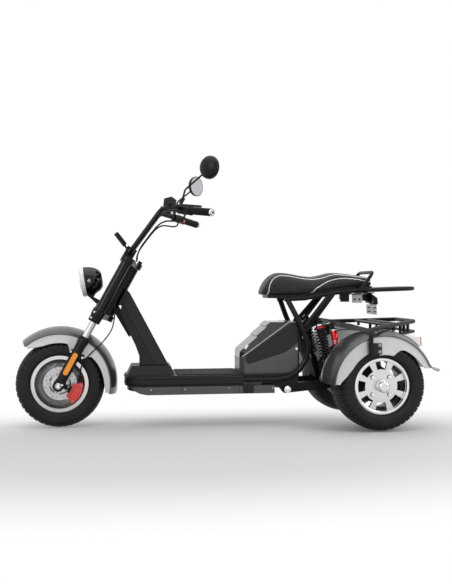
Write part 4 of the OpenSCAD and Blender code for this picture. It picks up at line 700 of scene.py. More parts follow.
# Shares: place along the wheelbase, top and underside of the seat height, half width
SADDLE_SHARES = np.array([
    [0.655, 0.864, 0.852, 0.34], [0.661, 0.9, 0.846, 0.52], [0.674, 0.945, 0.845, 0.68],
    [0.692, 0.983, 0.844, 0.8], [0.712, 1, 0.844, 0.88], [0.745, 0.996, 0.845, 0.97],
    [0.79, 0.978, 0.848, 1], [0.828, 0.97, 0.858, 0.98], [0.865, 0.982, 0.872, 0.95],
    [0.8974, 1, 0.886, 0.92], [0.95, 0.992, 0.8985, 0.88], [1.0, 0.978, 0.902, 0.84],
    [1.03, 0.966, 0.9035, 0.78], [1.0435, 0.955, 0.905, 0.68]])
SADDLE_POWER, UNDERSIDE_POWER = 0.62, 0.45
FINE_STEPS, BLEND_HALF = 600, 20


def eased(xs, table_x, table_v):
    """Smooth values between table rows: straight lines eased over a short stretch."""
    fine_x = np.linspace(table_x[0], table_x[-1], FINE_STEPS)
    fine = np.interp(fine_x, table_x, table_v)
    kernel = np.hanning(2 * BLEND_HALF + 1)
    kernel = kernel / kernel.sum()
    before, after = 2 * fine[0] - fine[BLEND_HALF:0:-1], 2 * fine[-1] - fine[-2:-BLEND_HALF - 2:-1]
    return np.interp(xs, fine_x, np.convolve(np.concatenate([before, fine, after]), kernel, "valid"))


def saddle_values(x_mm):
    """Half width, middle height and half height of the saddle at a place along it."""
    share = (np.asarray(x_mm, float) - FRONT_X) / WHEELBASE
    top, low, half = (eased(share, SADDLE_SHARES[:, 0], SADDLE_SHARES[:, k]) for k in (1, 2, 3))
    return half * SADDLE_HALF, (top + low) / 2 * SEAT_H, (top - low) / 2 * SEAT_H


def saddle_point(x_mm, turn, inset=0.0):
    """A point on the saddle's skin; turn is 0 at the right side and 90 degrees at the top."""
    half, mid, rise = saddle_values(x_mm)
    c, s = np.cos(np.radians(turn)), np.sin(np.radians(turn))
    y = (half - inset) * signed_power(c, SADDLE_POWER)
    height = np.where(s > 0, signed_power(s, SADDLE_POWER), signed_power(s, UNDERSIDE_POWER))
    return np.stack(np.broadcast_arrays(np.asarray(x_mm, float), y, mid + (rise - inset) * height), -1)


print("saddle shape from", len(SADDLE_SHARES), "rows")

# %% Saddle rings
COVER_SHARES, COVER_SHARP = (0.6555, 1.030), 70
SADDLE_ENDS = [FRONT_X + share * WHEELBASE for share in COVER_SHARES]
RING_COUNT, RING_TURNS = 90, 64
SWELL = 4.0

along = 1 - np.cos(np.linspace(0, math.pi, RING_COUNT))
ring_x = SADDLE_ENDS[0] + (SADDLE_ENDS[1] - SADDLE_ENDS[0]) * along / 2
ring_turns = np.arange(RING_TURNS) * 360.0 / RING_TURNS
rings = saddle_point(ring_x[:, None], ring_turns[None, :], SWELL).reshape(-1, 3)
cover_faces = closed_sweep(RING_COUNT, RING_TURNS)
saddle_cover = make_piece("saddle_cover", rings, cover_faces, black_leather, "chassis", "saddle_leather",
                          COVER_SHARP)
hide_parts("saddle")
print("saddle rings", RING_COUNT, "x", RING_TURNS)

# %% [markdown]
# The remesh gives the cloth even cells. Pressure pushes the cover out from inside, gravity is off because
# foam carries it, and each point may move only a few millimetres, so the saddle keeps its measured outline.

# %% Even cells for the cloth
VOXEL = 0.006


def baked_mesh(obj):
    """The mesh of an object with its modifiers applied."""
    graph = bpy.context.evaluated_depsgraph_get()
    return bpy.data.meshes.new_from_object(obj.evaluated_get(graph))


def mesh_points(mesh):
    """A mesh's points in metres."""
    co = np.zeros(len(mesh.vertices) * 3, np.float32)
    mesh.vertices.foreach_get("co", co)
    return co.reshape(-1, 3).astype(float)


def set_mesh_points(mesh, points):
    """Moves a mesh's points."""
    mesh.vertices.foreach_set("co", np.asarray(points, np.float32).ravel())
    mesh.update()


remesh = saddle_cover.modifiers.new("remesh", "REMESH")
remesh.mode = "VOXEL"
remesh.voxel_size = VOXEL
cover_mesh = baked_mesh(saddle_cover)
saddle_cover.modifiers.clear()
saddle_cover.data = cover_mesh
print("cover cells:", len(cover_mesh.polygons))

# %% Swell the saddle's cover
SWELL_LIMIT, STAPLED_SHARE = 0.006, 0.72
PRESSURE, CLOTH_STEPS = 4.0, 20
LEAST_MOVE = 1e-9

rest = mesh_points(cover_mesh)
middle, rise = saddle_values(rest[:, 0] / MM)[1:]
held = np.nonzero(rest[:, 2] / MM < middle - STAPLED_SHARE * rise)[0]
saddle_cover.vertex_groups.new(name="stapled").add(held.tolist(), 1.0, "REPLACE")
cloth = saddle_cover.modifiers.new("cover", "CLOTH")
cloth.settings.use_pressure = True
cloth.settings.uniform_pressure_force = PRESSURE
cloth.settings.effector_weights.gravity = 0.0
cloth.settings.vertex_group_mass = "stapled"
for step in range(1, CLOTH_STEPS + 1):
    bpy.context.scene.frame_set(step)
swollen = mesh_points(baked_mesh(saddle_cover))
bpy.context.scene.frame_set(1)
saddle_cover.modifiers.clear()
move = swollen - rest
size = np.linalg.norm(move, axis=1, keepdims=True)
set_mesh_points(cover_mesh, rest + move * np.minimum(1.0, SWELL_LIMIT / np.maximum(size, LEAST_MOVE)))
print("cover swelled by up to", round(float(size.max()) / MM, 1), "mm")
cover_mesh.shade_smooth()

# %% [markdown]
# ## Piping on the saddle
# A white cord is sewn into the seam between the top and the sides, and a second one sweeps over the rear
# hump. The cover swelled a little, so the seam's line is laid onto the real surface by finding its nearest
# point, the leather is drawn in along it, and a thin tube follows.

# %% Tube helper
LINE_STEPS, TUBE_SHARP = 24, 70
NEARLY_UPRIGHT = 0.1


def tube_points(line, radius, sides):
    """Rings round a line of points that turn as little as they can."""
    line = np.asarray(line, float)
    ways = np.gradient(line, axis=0)
    ways /= np.linalg.norm(ways, axis=1, keepdims=True)
    start = np.cross(ways[0], [0.0, 0.0, 1.0])
    if np.linalg.norm(start) < NEARLY_UPRIGHT:
        start = np.cross(ways[0], [1.0, 0.0, 0.0])
    rings, out = [], start / np.linalg.norm(start)
    turn = np.arange(sides) * 2 * math.pi / sides
    for here, way in zip(line, ways):
        out = out - way * (out @ way)
        out /= np.linalg.norm(out)
        other = np.cross(way, out)
        rings.append(here + radius * (np.cos(turn)[:, None] * out + np.sin(turn)[:, None] * other))
    return np.concatenate(rings)


def tube_piece(name, line, radius, mat, body, slot, sides=10):
    """A round tube along a line of points in millimetres."""
    points, faces = tube_points(line, radius, sides), closed_sweep(len(line), sides)
    return make_piece(name, points, faces, mat, body, slot, TUBE_SHARP)


def fair_line(points, count):
    """A smooth line through a few points, at even steps."""
    points = np.asarray(points, float)
    ends = np.concatenate([[2 * points[0] - points[1]], points, [2 * points[-1] - points[-2]]])
    out = []
    for i in range(len(points) - 1):
        a, b, c, d = ends[i:i + 4]
        first, second, third = c - a, 2 * a - 5 * b + 4 * c - d, 3 * b - 3 * c + d - a
        for t in np.linspace(0, 1, LINE_STEPS, endpoint=False):
            out.append(0.5 * (2 * b + first * t + second * t ** 2 + third * t ** 3))
    out = np.array(out + [points[-1]])
    walked = np.concatenate([[0], np.cumsum(np.linalg.norm(np.diff(out, axis=0), axis=1))])
    even = np.linspace(0, walked[-1], count)
    return np.stack([np.interp(even, walked, out[:, k]) for k in range(3)], -1)


print("tube helper ready")

# %% Seams on the cover
# Share of the wheelbase and turn round the section
TOP_SEAM = [(0.6745, -75), (0.676, -35), (0.6795, 5), (0.686, 24), (0.696, 36), (0.712, 42), (0.75, 43),
            (0.80, 43), (0.85, 44), (0.8974, 44), (0.95, 43), (1.0, 41), (1.018, 39), (1.0285, 34)]
# Place along the scooter and height
HUMP_SEAM = [(446, 661), (469, 679), (501, 704), (548, 728), (616, 739), (685, 735), (730, 727), (766, 719)]
TOP_STEPS, HUMP_STEPS, LEAN_LIMIT = 150, 90, 0.98


def seam_on_cover(points, tree):
    """The nearest points of the cover to a line, in millimetres."""
    return np.array([[v / MM for v in tree.find_nearest(Vector(p * MM))[0]] for p in points])


def hump_point(x, z, side):
    """A point on one side of the saddle at a height."""
    half, mid, rise = saddle_values(x)
    lean = np.clip((z - mid) / rise, -LEAN_LIMIT, LEAN_LIMIT)
    s = signed_power(lean, 1 / SADDLE_POWER)
    return [x, side * half * (1 - s ** 2) ** (SADDLE_POWER / 2), z]


corners = [p.vertices for p in cover_mesh.polygons]
cover_tree = BVHTree.FromPolygons([v.co for v in cover_mesh.vertices], corners)
seams = {}
for side, word in SIDES:
    top = []
    for share, turn in TOP_SEAM:
        top.append(saddle_point(FRONT_X + share * WHEELBASE, turn if side > 0 else 180 - turn))
    seams[f"piping_top_{word}"] = seam_on_cover(fair_line(top, TOP_STEPS), cover_tree)
    hump = [hump_point(x, z, side) for x, z in HUMP_SEAM]
    seams[f"piping_hump_{word}"] = seam_on_cover(fair_line(hump, HUMP_STEPS), cover_tree)
print("seams:", len(seams))

# %% Drawn-in leather and piping
PIPING_R = 2.1
SEAM_DEPTH, SEAM_WIDTH = 2.2, 7.0

points = mesh_points(cover_mesh)
normals = np.array([v.normal for v in cover_mesh.vertices])
all_seams = np.concatenate(list(seams.values())) * MM
near = np.array([np.min(np.linalg.norm(all_seams - p, axis=1)) for p in points])
dip = SEAM_DEPTH * MM * np.exp(-(near / (SEAM_WIDTH * MM)) ** 2)
set_mesh_points(cover_mesh, points - normals * dip[:, None])
for name, line in seams.items():
    tube_piece(name, line, PIPING_R, white_piping, "chassis", "saddle_leather")
print("piping:", ", ".join(seams))

# %% [markdown]
# ## Turned, cut and bolted trim
# Bolts, caps, seals and rings are turned shapes; plates of metal and plastic are flat outlines with a small
# chamfer. Adding primitives one by one would be slow and plain, so two helpers turn a profile about any
# line and raise an outline off any surface, and many small pieces are joined into one object that rides one
# body.

# %% Turning and raising helpers
# A way along no piece's axis, which gives each turned piece its first spoke
OFF_AXIS = [0.31, 0.2, 1.0]
# The most of a side that a rounded corner may take
CORNER_SHARE = 0.45


def unit(v):
    """A way one long."""
    v = np.asarray(v, float)
    return v / np.linalg.norm(v)


def turned(profile, at, way, sides, ring=False):
    """A profile of (radius, height) turned about a line; a ring's profile closes on itself."""
    way = unit(way)
    out = unit(np.cross(way, OFF_AXIS))
    other = np.cross(way, out)
    turn = np.arange(sides) * 2 * math.pi / sides
    spokes = np.cos(turn)[:, None] * out + np.sin(turn)[:, None] * other
    points = np.concatenate([np.asarray(at, float) + way * h + spokes * r for r, h in profile])
    if ring:
        return points, grid_faces(len(profile), sides, True, True)
    return points, closed_sweep(len(profile), sides)


def rounded(corners, radius, steps=5):
    """A flat outline with its corners rounded."""
    corners = np.asarray(corners, float)
    out = []
    for before, here, after in zip(np.roll(corners, 1, 0), corners, np.roll(corners, -1, 0)):
        reach = min(radius, *(CORNER_SHARE * np.linalg.norm(other - here) for other in (before, after)))
        a, b = here + unit(before - here) * reach, here + unit(after - here) * reach
        for t in np.linspace(0, 1, steps + 1):
            out.append((1 - t) ** 2 * a + 2 * t * (1 - t) * here + t ** 2 * b)
    return np.array(out)


def box_outline(low_u, high_u, low_v, high_v, radius, steps=5):
    """A rounded rectangle."""
    return rounded([(low_u, low_v), (high_u, low_v), (high_u, high_v), (low_u, high_v)], radius, steps)


def drawn_in(outline, inset):
    """An outline moved inwards by a small distance."""
    ahead, behind = np.roll(outline, -1, 0) - outline, outline - np.roll(outline, 1, 0)
    way = ahead / np.linalg.norm(ahead, axis=1)[:, None] + behind / np.linalg.norm(behind, axis=1)[:, None]
    way /= np.linalg.norm(way, axis=1)[:, None]
    x, y = outline.T
    sign = 1.0 if np.sum(x * np.roll(y, -1) - y * np.roll(x, -1)) > 0 else -1.0
    return outline + sign * inset * np.stack([-way[:, 1], way[:, 0]], -1)


def raised(outline, place, height, chamfer=0.8, sink=1.0):
    """An outline raised off a surface; place(u, v, h) gives the point at a height above it."""
    levels = [(outline, -sink), (outline, height - chamfer), (drawn_in(outline, chamfer), height)]
    points = np.concatenate([np.array([place(u, v, h) for u, v in shape]) for shape, h in levels])
    return points, closed_sweep(len(levels), len(outline))


print("turning and raising helpers ready")

# %% Screws, bolts and joined shapes
SUNK = 0.5
SCREW_SIDES, WASHER_SIDES, HEX_SIDES = 20, 24, 6
# Degrees that an edge has to turn by to stay sharp
HEX_SHARP, SCREW_SHARP, TRIM_SHARP, ROUND_SHARP = 25, 30, 35, 40
# Radius and height of each edge, as shares of the head's radius
SOCKET_SHARES = [(1, 0.75), (0.86, 0.95), (0.52, 0.95), (0.5, 0.5)]
WASHER_SHARES = [(1.45, 0.2), (1.35, 0.3)]
HEAD_SHARES = [(1, 0.2), (1, 0.9), (0.82, 1.05)]


def cap_screw(at, way, r):
    """A round screw head with its socket."""
    return turned([(r, -SUNK)] + [(a * r, b * r) for a, b in SOCKET_SHARES], at, way, SCREW_SIDES)


def hex_bolt(at, way, r):
    """A chamfered hexagon head on its washer."""
    rim = [(WASHER_SHARES[0][0] * r, -SUNK)]
    washer = turned(rim + [(a * r, b * r) for a, b in WASHER_SHARES], at, way, WASHER_SIDES)
    return joined([washer, turned([(a * r, b * r) for a, b in HEAD_SHARES], at, way, HEX_SIDES)])


def joined(parts):
    """Several shapes as one list of points and faces."""
    points, faces, count = [], [], 0
    for p, f in parts:
        points.append(np.asarray(p, float))
        faces += [[i + count for i in face] for face in f]
        count += len(p)
    return np.concatenate(points), faces


def trim(name, parts, mat, body, slot, smooth=TRIM_SHARP):
    """Many small shapes as one piece."""
    return make_piece(name, *joined(parts), mat, body, slot, smooth=smooth)


def both_sides(make):
    """A shape made for the left and for the right side."""
    return [make(side) for side, word in SIDES]


print("trim helpers ready")

# %% [markdown]
# ## Fork, yokes and front brake
# The fork hangs on a raked axis, so its trim is placed in the fork's own frame: distance behind the axis,
# to the right, and up along the axis. Black sleeves cover the tubes between the yokes, rubber seals wipe
# them below, and the red brake body sits astride the disc on a black bracket.

# %% Fork frame
RAKE_DEG = 28.5
RAKE = math.radians(RAKE_DEG)
STEER_AT = np.array([-783.74, 0, 200.30])
STEER_AXES = np.array([[math.cos(RAKE), 0, -math.sin(RAKE)], [0, 1, 0], [math.sin(RAKE), 0, math.cos(RAKE)]])
AXIS_BACK, AXIS_RIGHT, AXIS_UP = STEER_AXES
LEG_X, LEG_Y = -35.0, 150.0


def steer(x, y, z):
    """A point of the fork's frame in the scooter's frame."""
    return STEER_AT + np.array([x, y, z]) @ STEER_AXES


print("steering axis leans", RAKE_DEG, "degrees")

# %% Sleeves, seals, screws and axle nuts
LEG_SIDES = 40
SLEEVE = [(22, 410.1), (24.5, 410.2), (24.5, 677.8), (22, 677.9)]
SEAL = [(17, 252.4), (24.6, 252.4), (24.6, 259), (20.5, 266), (17, 267)]
LEG_BAND = [(24.2, 214), (25.2, 215), (25.2, 219), (24.2, 220)]
# Place back, right and up; head radius; way it faces, back and right
FORK_SCREWS = [
    (LEG_X - 18, 175, 364, 5.0, -0.6, 1), (LEG_X - 18, 175, 395, 5.0, -0.6, 1),
    (7.9, 120.5, 700, 6.0, 0.974, 0.227), (-60.5, 131, 170, 5.5, 0, 1), (0.5, 131, 170, 5.5, 0, 1),
    (LEG_X + 14, 174.6, 14, 5.0, 0, 1)]
AXLE_NUT_Y, AXLE_NUT_R = 175.2, 10.4

sleeves, seals, screws = [], [], []
for side, word in SIDES:
    foot = steer(LEG_X, side * LEG_Y, 0)
    sleeves.append(turned(SLEEVE, foot, AXIS_UP, LEG_SIDES))
    seals += [turned(profile, foot, AXIS_UP, LEG_SIDES, True) for profile in (SEAL, LEG_BAND)]
    for x, y, z, r, back, right in FORK_SCREWS:
        screws.append(cap_screw(steer(x, side * y, z), side * right * AXIS_RIGHT + back * AXIS_BACK, r))
trim("fork_sleeves", sleeves, fork_black, "steering", "black_metal")
trim("fork_seals", seals, soft_rubber, "steering", "control_plastic")
trim("fork_screws", screws, chrome, "steering", "zinc", SCREW_SHARP)
nuts = both_sides(lambda side: hex_bolt((FRONT_X, side * AXLE_NUT_Y, AXLE_Z), (0, side, 0), AXLE_NUT_R))
trim("front_axle_nuts", nuts, chrome, "steering", "zinc", HEX_SHARP)
print("fork trim:", len(screws), "screws")

# %% Brake body
DISC_Y, BODY_HALF = -66.0, 22.1
# Inner and outer radius, first and last angle
CHEEK, PAD, BRIDGE = (62, 115, -31, 31), (72, 106, -21, 21), (90, 115.4, -31, 31)
CHEEK_RISES = ((-1, 17.0), (1, 2.2))
PAD_RISE, CHEEK_SINK, FACE_INSET, BRIDGE_W = 2.8, 12.0, 1, 28
CHEEK_CHAMFER, PAD_CHAMFER, BRIDGE_CHAMFER = 1.6, 1.8, 0.5
ARC_STEPS, ARC_CORNER, ARC_CORNER_STEPS = 14, 5, 2


def brake_place(face):
    """Places a flat outline of the fork's side view at a height outside the brake's face."""
    return lambda u, v, h: steer(LEG_X + u, DISC_Y + face * (BODY_HALF - FACE_INSET + h), v)


def on_bridge(u, v, h):
    """Places the bridge over the disc, from its left side to its right."""
    return steer(LEG_X + u, DISC_Y - BRIDGE_W / 2 + h, v)


def arc_outline(r0, r1, a0, a1):
    """A piece of a ring, about the axle."""
    turn = np.radians(np.linspace(a0, a1, ARC_STEPS))
    outer = np.stack([r1 * np.cos(turn), r1 * np.sin(turn)], -1)
    inner = np.stack([r0 * np.cos(turn), r0 * np.sin(turn)], -1)[::-1]
    return rounded(np.concatenate([outer, inner]), ARC_CORNER, ARC_CORNER_STEPS)


brake_parts = []
for face, rise in CHEEK_RISES:
    brake_parts.append(raised(arc_outline(*CHEEK), brake_place(face), rise, CHEEK_CHAMFER, CHEEK_SINK))
    brake_parts.append(raised(arc_outline(*PAD), brake_place(face), rise + PAD_RISE, PAD_CHAMFER, 0.0))
brake_parts.append(raised(arc_outline(*BRIDGE), on_bridge, BRIDGE_W, BRIDGE_CHAMFER, 0.0))
trim("brake_body", brake_parts, red_paint, "steering", "caliper_red", ROUND_SHARP)
print("brake body ready")

# %% Brake bolts and front dish
CHEEK_BOLT_AT, CHEEK_BOLT_TURN, CHEEK_BOLT_OUT, CHEEK_BOLT_R = 104, 0.42, 16.4, 4.5
BRACKET_BOLT_X, BRACKET_BOLT_Y, BRACKET_BOLT_ZS, BRACKET_BOLT_R = LEG_X + 44, -101.9, (-8, 10), 5.0
DISC_BOLTS, DISC_BOLT_AT, DISC_BOLT_Y, DISC_BOLT_R = 5, 48, -68.6, 4.2
LEFTWARD = (0, -1, 0)
DISH = [(121.7, -80), (121.7, -74), (119, -44), (112, -18), (92, -5), (79, -3), (79, -1.4), (94, -2.6),
        (114, -15), (120.6, -44)]
DISH_APART, DISH_SIDES = 3, 96

brake_bolts = []
for turn in (-CHEEK_BOLT_TURN, CHEEK_BOLT_TURN):
    x, z = LEG_X + CHEEK_BOLT_AT * math.cos(turn), CHEEK_BOLT_AT * math.sin(turn)
    brake_bolts.append(cap_screw(steer(x, DISC_Y - BODY_HALF - CHEEK_BOLT_OUT, z), LEFTWARD, CHEEK_BOLT_R))
for z in BRACKET_BOLT_ZS:
    brake_bolts.append(cap_screw(steer(BRACKET_BOLT_X, BRACKET_BOLT_Y, z), LEFTWARD, BRACKET_BOLT_R))
trim("brake_bolts", brake_bolts, zinc, "steering", "zinc", SCREW_SHARP)
disc_bolts = []
for turn in np.radians((np.arange(DISC_BOLTS) + 0.5) * 360 / DISC_BOLTS):
    x, z = FRONT_X + DISC_BOLT_AT * math.cos(turn), AXLE_Z + DISC_BOLT_AT * math.sin(turn)
    disc_bolts.append(cap_screw((x, DISC_BOLT_Y, z), LEFTWARD, DISC_BOLT_R))
trim("disc_bolts", disc_bolts, zinc, "front_wheel", "zinc", SCREW_SHARP)
dish = []
for side, word in SIDES:
    profile = [(r, side * -y + (DISH_APART if side > 0 else 0)) for r, y in DISH]
    dish.append(turned(profile, front_centre, (0, 1, 0), DISH_SIDES, True))
trim("front_dish", dish, polished, "front_wheel", "rim_alloy", ROUND_SHARP)
print("brake bolts and front dish ready")

# %% [markdown]
# ## Lamp, display and bar
# A ribbed clear rim carries the lamp's lens, with a dark projector in its middle. The display has a dark
# glass in a raised bezel. The grips are ribbed rubber with bright end plugs, and a red button sits on the
# right housing.

# %% Lamp
LAMP_AT, LAMP_REACH, LAMP_OFF_LEVEL = (-143.0, 0.0, 521.0), 52, 9
LAMP_TILT = math.radians(90 - RAKE_DEG - LAMP_OFF_LEVEL)
RIM_SIDES, CORE_SIDES = 64, 48
LAMP_RIM = [(74.2, 18), (75.4, 17), (75.4, 12), (74.5, 11.4), (74.5, 10.4), (75.4, 9.8), (75.4, 4),
            (74.5, 3.4), (74.5, 2.4), (75.2, 1.8), (73.4, -2.6), (69, -4.4), (66.2, -3), (66.2, 1)]
LAMP_CORE = [(0.4, -12), (14, -11.6), (26, -10.5), (30, -9.2), (30, -5.5)]
CORE_RING = [(30, -5), (34.5, -5), (34.5, -8.4), (32, -10), (30, -9.4)]
LAMP_BOLT_BACK, LAMP_BOLT_Y, LAMP_BOLT_R = 38, 69.5, 7

lamp_back = math.sin(LAMP_TILT) * AXIS_BACK + math.cos(LAMP_TILT) * AXIS_UP
lamp_face = steer(*LAMP_AT) - LAMP_REACH * lamp_back
lamp_rim = turned(LAMP_RIM, lamp_face, lamp_back, RIM_SIDES, True)
trim("lamp_glass_rim", [lamp_rim], clear_lens, "steering", "lamp_lens", SCREW_SHARP)
lamp_core = turned(LAMP_CORE, lamp_face, lamp_back, CORE_SIDES)
trim("lamp_core", [lamp_core], screen_glass, "steering", "lamp_lens", ROUND_SHARP)
core_ring = turned(CORE_RING, lamp_face, lamp_back, CORE_SIDES, True)
trim("lamp_core_ring", [core_ring], chrome, "steering", "lamp_lens", ROUND_SHARP)
bolt_at = lamp_face + LAMP_BOLT_BACK * lamp_back
lamp_bolts = []
for side, word in SIDES:
    lamp_bolts.append(hex_bolt(bolt_at + [0, side * LAMP_BOLT_Y, 0], (0, side, 0), LAMP_BOLT_R))
trim("lamp_bolts", lamp_bolts, zinc, "steering", "zinc", HEX_SHARP)
print("lamp ready")

# %% Display
DISPLAY_SLOPE = math.radians(24)
DISPLAY_AT, DISPLAY_RISE = (-118, 0, 772), 10
KEY, KEY_U, KEY_VS, KEY_SIDES = [(4.5, 0), (4.5, 2.8), (3.6, 3.4)], 30, (-14, 14), 20
# Ends along and across with the corners' radius; then height and chamfer
BEZEL, BEZEL_EDGE = (-36, 36, -47, 47, 9), (1.6, 1.2)
GLASS, GLASS_EDGE = (-28, 24, -38, 38, 6), (2.4, 0.6)
display_u = math.cos(DISPLAY_SLOPE) * AXIS_BACK - math.sin(DISPLAY_SLOPE) * AXIS_UP
display_n = math.sin(DISPLAY_SLOPE) * AXIS_BACK + math.cos(DISPLAY_SLOPE) * AXIS_UP
display_at = steer(*DISPLAY_AT) + DISPLAY_RISE * display_n


def on_display(u, v, h):
    """Places an outline on the display's sloping face."""
    return display_at + display_u * u + np.array([0, v, 0]) + display_n * h


bezel = raised(box_outline(*BEZEL), on_display, *BEZEL_EDGE)
trim("display_bezel", [bezel], control_plastic, "steering", "control_plastic")
glass = raised(box_outline(*GLASS), on_display, *GLASS_EDGE)
trim("display_glass", [glass], screen_glass, "steering", "control_plastic")
keys = [turned(KEY, on_display(KEY_U, v, 0), display_n, KEY_SIDES) for v in KEY_VS]
trim("display_keys", keys, soft_rubber, "steering", "control_plastic")
print("display ready")

# %% Grips, bar plugs and stop button
BAR_END, BAR_INWARD = (-98.36, 352.0, 1043.4), (-0.6718, -0.7304, 0.1233)
GRIP_END = [(17.1, 1.0), (19.0, 2.0), (19.0, 7.0)]
GRIP_FLANGE = [(18.2, 118), (22.5, 120), (22.5, 126), (18.0, 127.4)]
RIB, RIB_STARTS = [(17.3, 0), (18.4, 1.2), (18.4, 4.2), (17.3, 5.2)], np.arange(9, 112, 6.0)
PLUG = [(15.4, 0.2), (15.8, -3), (15.8, -11), (13.4, -14.2), (7, -14.6), (6.4, -12)]
BUTTON = [(7.5, 20), (7.5, 25), (5.5, 27), (2.5, 27.4)]
BUTTON_ALONG, BUTTON_FACES = 138, (0.30, -0.80, -0.35)
GRIP_SIDES, PLUG_SIDES, BUTTON_SIDES = 36, 32, 24


def bar_line(side):
    """The bar's end and the way inwards along it."""
    return np.array(BAR_END) * [1, side, 1], unit(np.array(BAR_INWARD) * [1, side, 1])


grip = GRIP_END + [(r, start + h) for start in RIB_STARTS for r, h in RIB] + GRIP_FLANGE
grip_sleeves = both_sides(lambda side: turned(grip, *bar_line(side), GRIP_SIDES))
trim("grip_sleeves", grip_sleeves, soft_rubber, "steering", "control_plastic", SCREW_SHARP)
bar_plugs = both_sides(lambda side: turned(PLUG, *bar_line(side), PLUG_SIDES))
trim("bar_plugs", bar_plugs, chrome, "steering", "fork_chrome", ROUND_SHARP)
right_end, inward = bar_line(1)
button_way = unit(BUTTON_FACES)
button_way = unit(button_way - inward * (button_way @ inward))
button = turned(BUTTON, right_end + inward * BUTTON_ALONG, button_way, BUTTON_SIDES)
trim("stop_button", [button], red_paint, "steering", "caliper_red")
print("grips with", len(RIB_STARTS), "ribs")

# %% [markdown]
# ## Column, deck and battery box
# These are large mouldings. On the real ones the panels meet in narrow joints and stand a little proud of
# each other. Cutting the joints into the solids would change them, so thin panels with a chamfered edge are
# laid on: the chamfers catch the light as the real panel edges do.

# %% Column panels
# Height and half width of the column at its foot and its head
COLUMN_LOW, COLUMN_HIGH = (300.2, 66.0), (684.2, 48.8)
BACK_PANEL = [(-503, 608), (-346, 303.5), (-285, 303.5), (-481, 667)]
FRONT_PANEL = [(-511, 603), (-353, 303.5), (-417, 303.5), (-420, 345), (-440, 392), (-522, 566)]
# Corner radius; then height and chamfer
BACK_CORNER, BACK_EDGE, FRONT_CORNER, FRONT_EDGE = 5, (1.8, 1.2), 6, (1.4, 1.2)


def on_column(side):
    """Places a side view's outline on the tapering column."""
    def place(x, z, h):
        half = np.interp(z, [COLUMN_LOW[0], COLUMN_HIGH[0]], [COLUMN_LOW[1], COLUMN_HIGH[1]])
        return np.array([x, side * (half + h), z])
    return place


def on_side(side, y):
    """Places a side view's outline at a distance from the middle."""
    return lambda x, z, h: np.array([x, side * (y + h), z])


back_panel = rounded(BACK_PANEL, BACK_CORNER)
back_panels = both_sides(lambda side: raised(back_panel, on_column(side), *BACK_EDGE))
trim("column_back_panels", back_panels, panel_dark, "chassis", "panel_plastic")
front_panel = rounded(FRONT_PANEL, FRONT_CORNER)
front_panels = both_sides(lambda side: raised(front_panel, on_column(side), *FRONT_EDGE))
trim("column_front_panels", front_panels, grained_plastic, "chassis", "panel_plastic")
print("column panels ready")

# %% Deck beads
DECK_NOSE, DECK_END, NOSE_L, DECK_HALF = -499.5, 91.0, 110.0, 150.0
NOSE_START = DECK_NOSE + NOSE_L
# Name, inset, height, radius and finish
DECK_BEADS = [
    ("deck_bead_upper", -0.6, 246.0, 3.2, panel_dark), ("deck_bead_lower", 0.6, 213.6, 2.4, soft_rubber),
    ("deck_bead_sill", 1.4, 202.4, 1.8, soft_rubber)]
NOSE_STEPS, SIDE_STEPS, BEAD_SIDES = 49, 30, 12


def deck_edge(inset, end):
    """The deck's edge in plan, from the left rear round the nose to the right rear."""
    turn = np.linspace(-math.pi / 2, math.pi / 2, NOSE_STEPS)
    nose = np.stack([NOSE_START - (NOSE_L - inset) * np.cos(turn), (DECK_HALF - inset) * np.sin(turn)], -1)
    straight = np.linspace(end, nose[0, 0], SIDE_STEPS)[:-1]
    left = np.stack([straight, np.full(len(straight), -(DECK_HALF - inset))], -1)
    return np.concatenate([left, nose, left[::-1] * [1, -1]])


for name, inset, z, radius, mat in DECK_BEADS:
    edge = deck_edge(inset, DECK_END)
    line = np.column_stack([edge, np.full(len(edge), z)])
    tube_piece(name, line, radius, mat, "chassis", "panel_plastic", BEAD_SIDES)
print("deck beads:", len(DECK_BEADS))

# %% Deck joints, skirt screws and sill brackets
JOINT_XS, JOINT_HALF, JOINT_ZS = (-217.6, 69.0), 0.9, (164, 255)
SKIRT_SCREWS, SKIRT_SCREW_R = ((-369.7, 188), (-202.5, 188), (16.4, 190), (237.6, 187)), 5.5
# Corner radius with its steps; height and chamfer
JOINT_CORNER, JOINT_EDGE = (0.3, 1), (0.5, 0.2)
# Ends, heights and corner radius
BLOCK, BLOCK_RISE, BLOCK_CHAMFER = (88, 141, 163, 215, 5), 5.0, 2.0
BLOCK_RIB_XS, BLOCK_RIB_HALF, BLOCK_RIB_ZS, BLOCK_RIB_CORNER = (100, 129), 5, (168, 210), 3
BLOCK_RIB_SINK, BLOCK_RIB_EDGE = 1, (3.0, 1.5)


def skirt_half(x):
    """Half width of the deck at a place along it."""
    ahead = max(0.0, NOSE_START - x)
    return DECK_HALF * math.sqrt(1 - (ahead / NOSE_L) ** 2)


joints, skirt_screws, blocks = [], [], []
for side, word in SIDES:
    for x in JOINT_XS:
        joint = box_outline(x - JOINT_HALF, x + JOINT_HALF, *JOINT_ZS, *JOINT_CORNER)
        joints.append(raised(joint, on_side(side, DECK_HALF), *JOINT_EDGE))
    for x, z in SKIRT_SCREWS:
        skirt_screws.append(cap_screw((x, side * skirt_half(x), z), (0, side, 0), SKIRT_SCREW_R))
    blocks.append(raised(box_outline(*BLOCK), on_side(side, DECK_HALF), BLOCK_RISE, BLOCK_CHAMFER))
    on_block = on_side(side, DECK_HALF + BLOCK_RISE - BLOCK_RIB_SINK)
    for x in BLOCK_RIB_XS:
        rib = box_outline(x - BLOCK_RIB_HALF, x + BLOCK_RIB_HALF, *BLOCK_RIB_ZS, BLOCK_RIB_CORNER)
        blocks.append(raised(rib, on_block, *BLOCK_RIB_EDGE))
trim("deck_joints", joints, soft_rubber, "chassis", "panel_plastic")
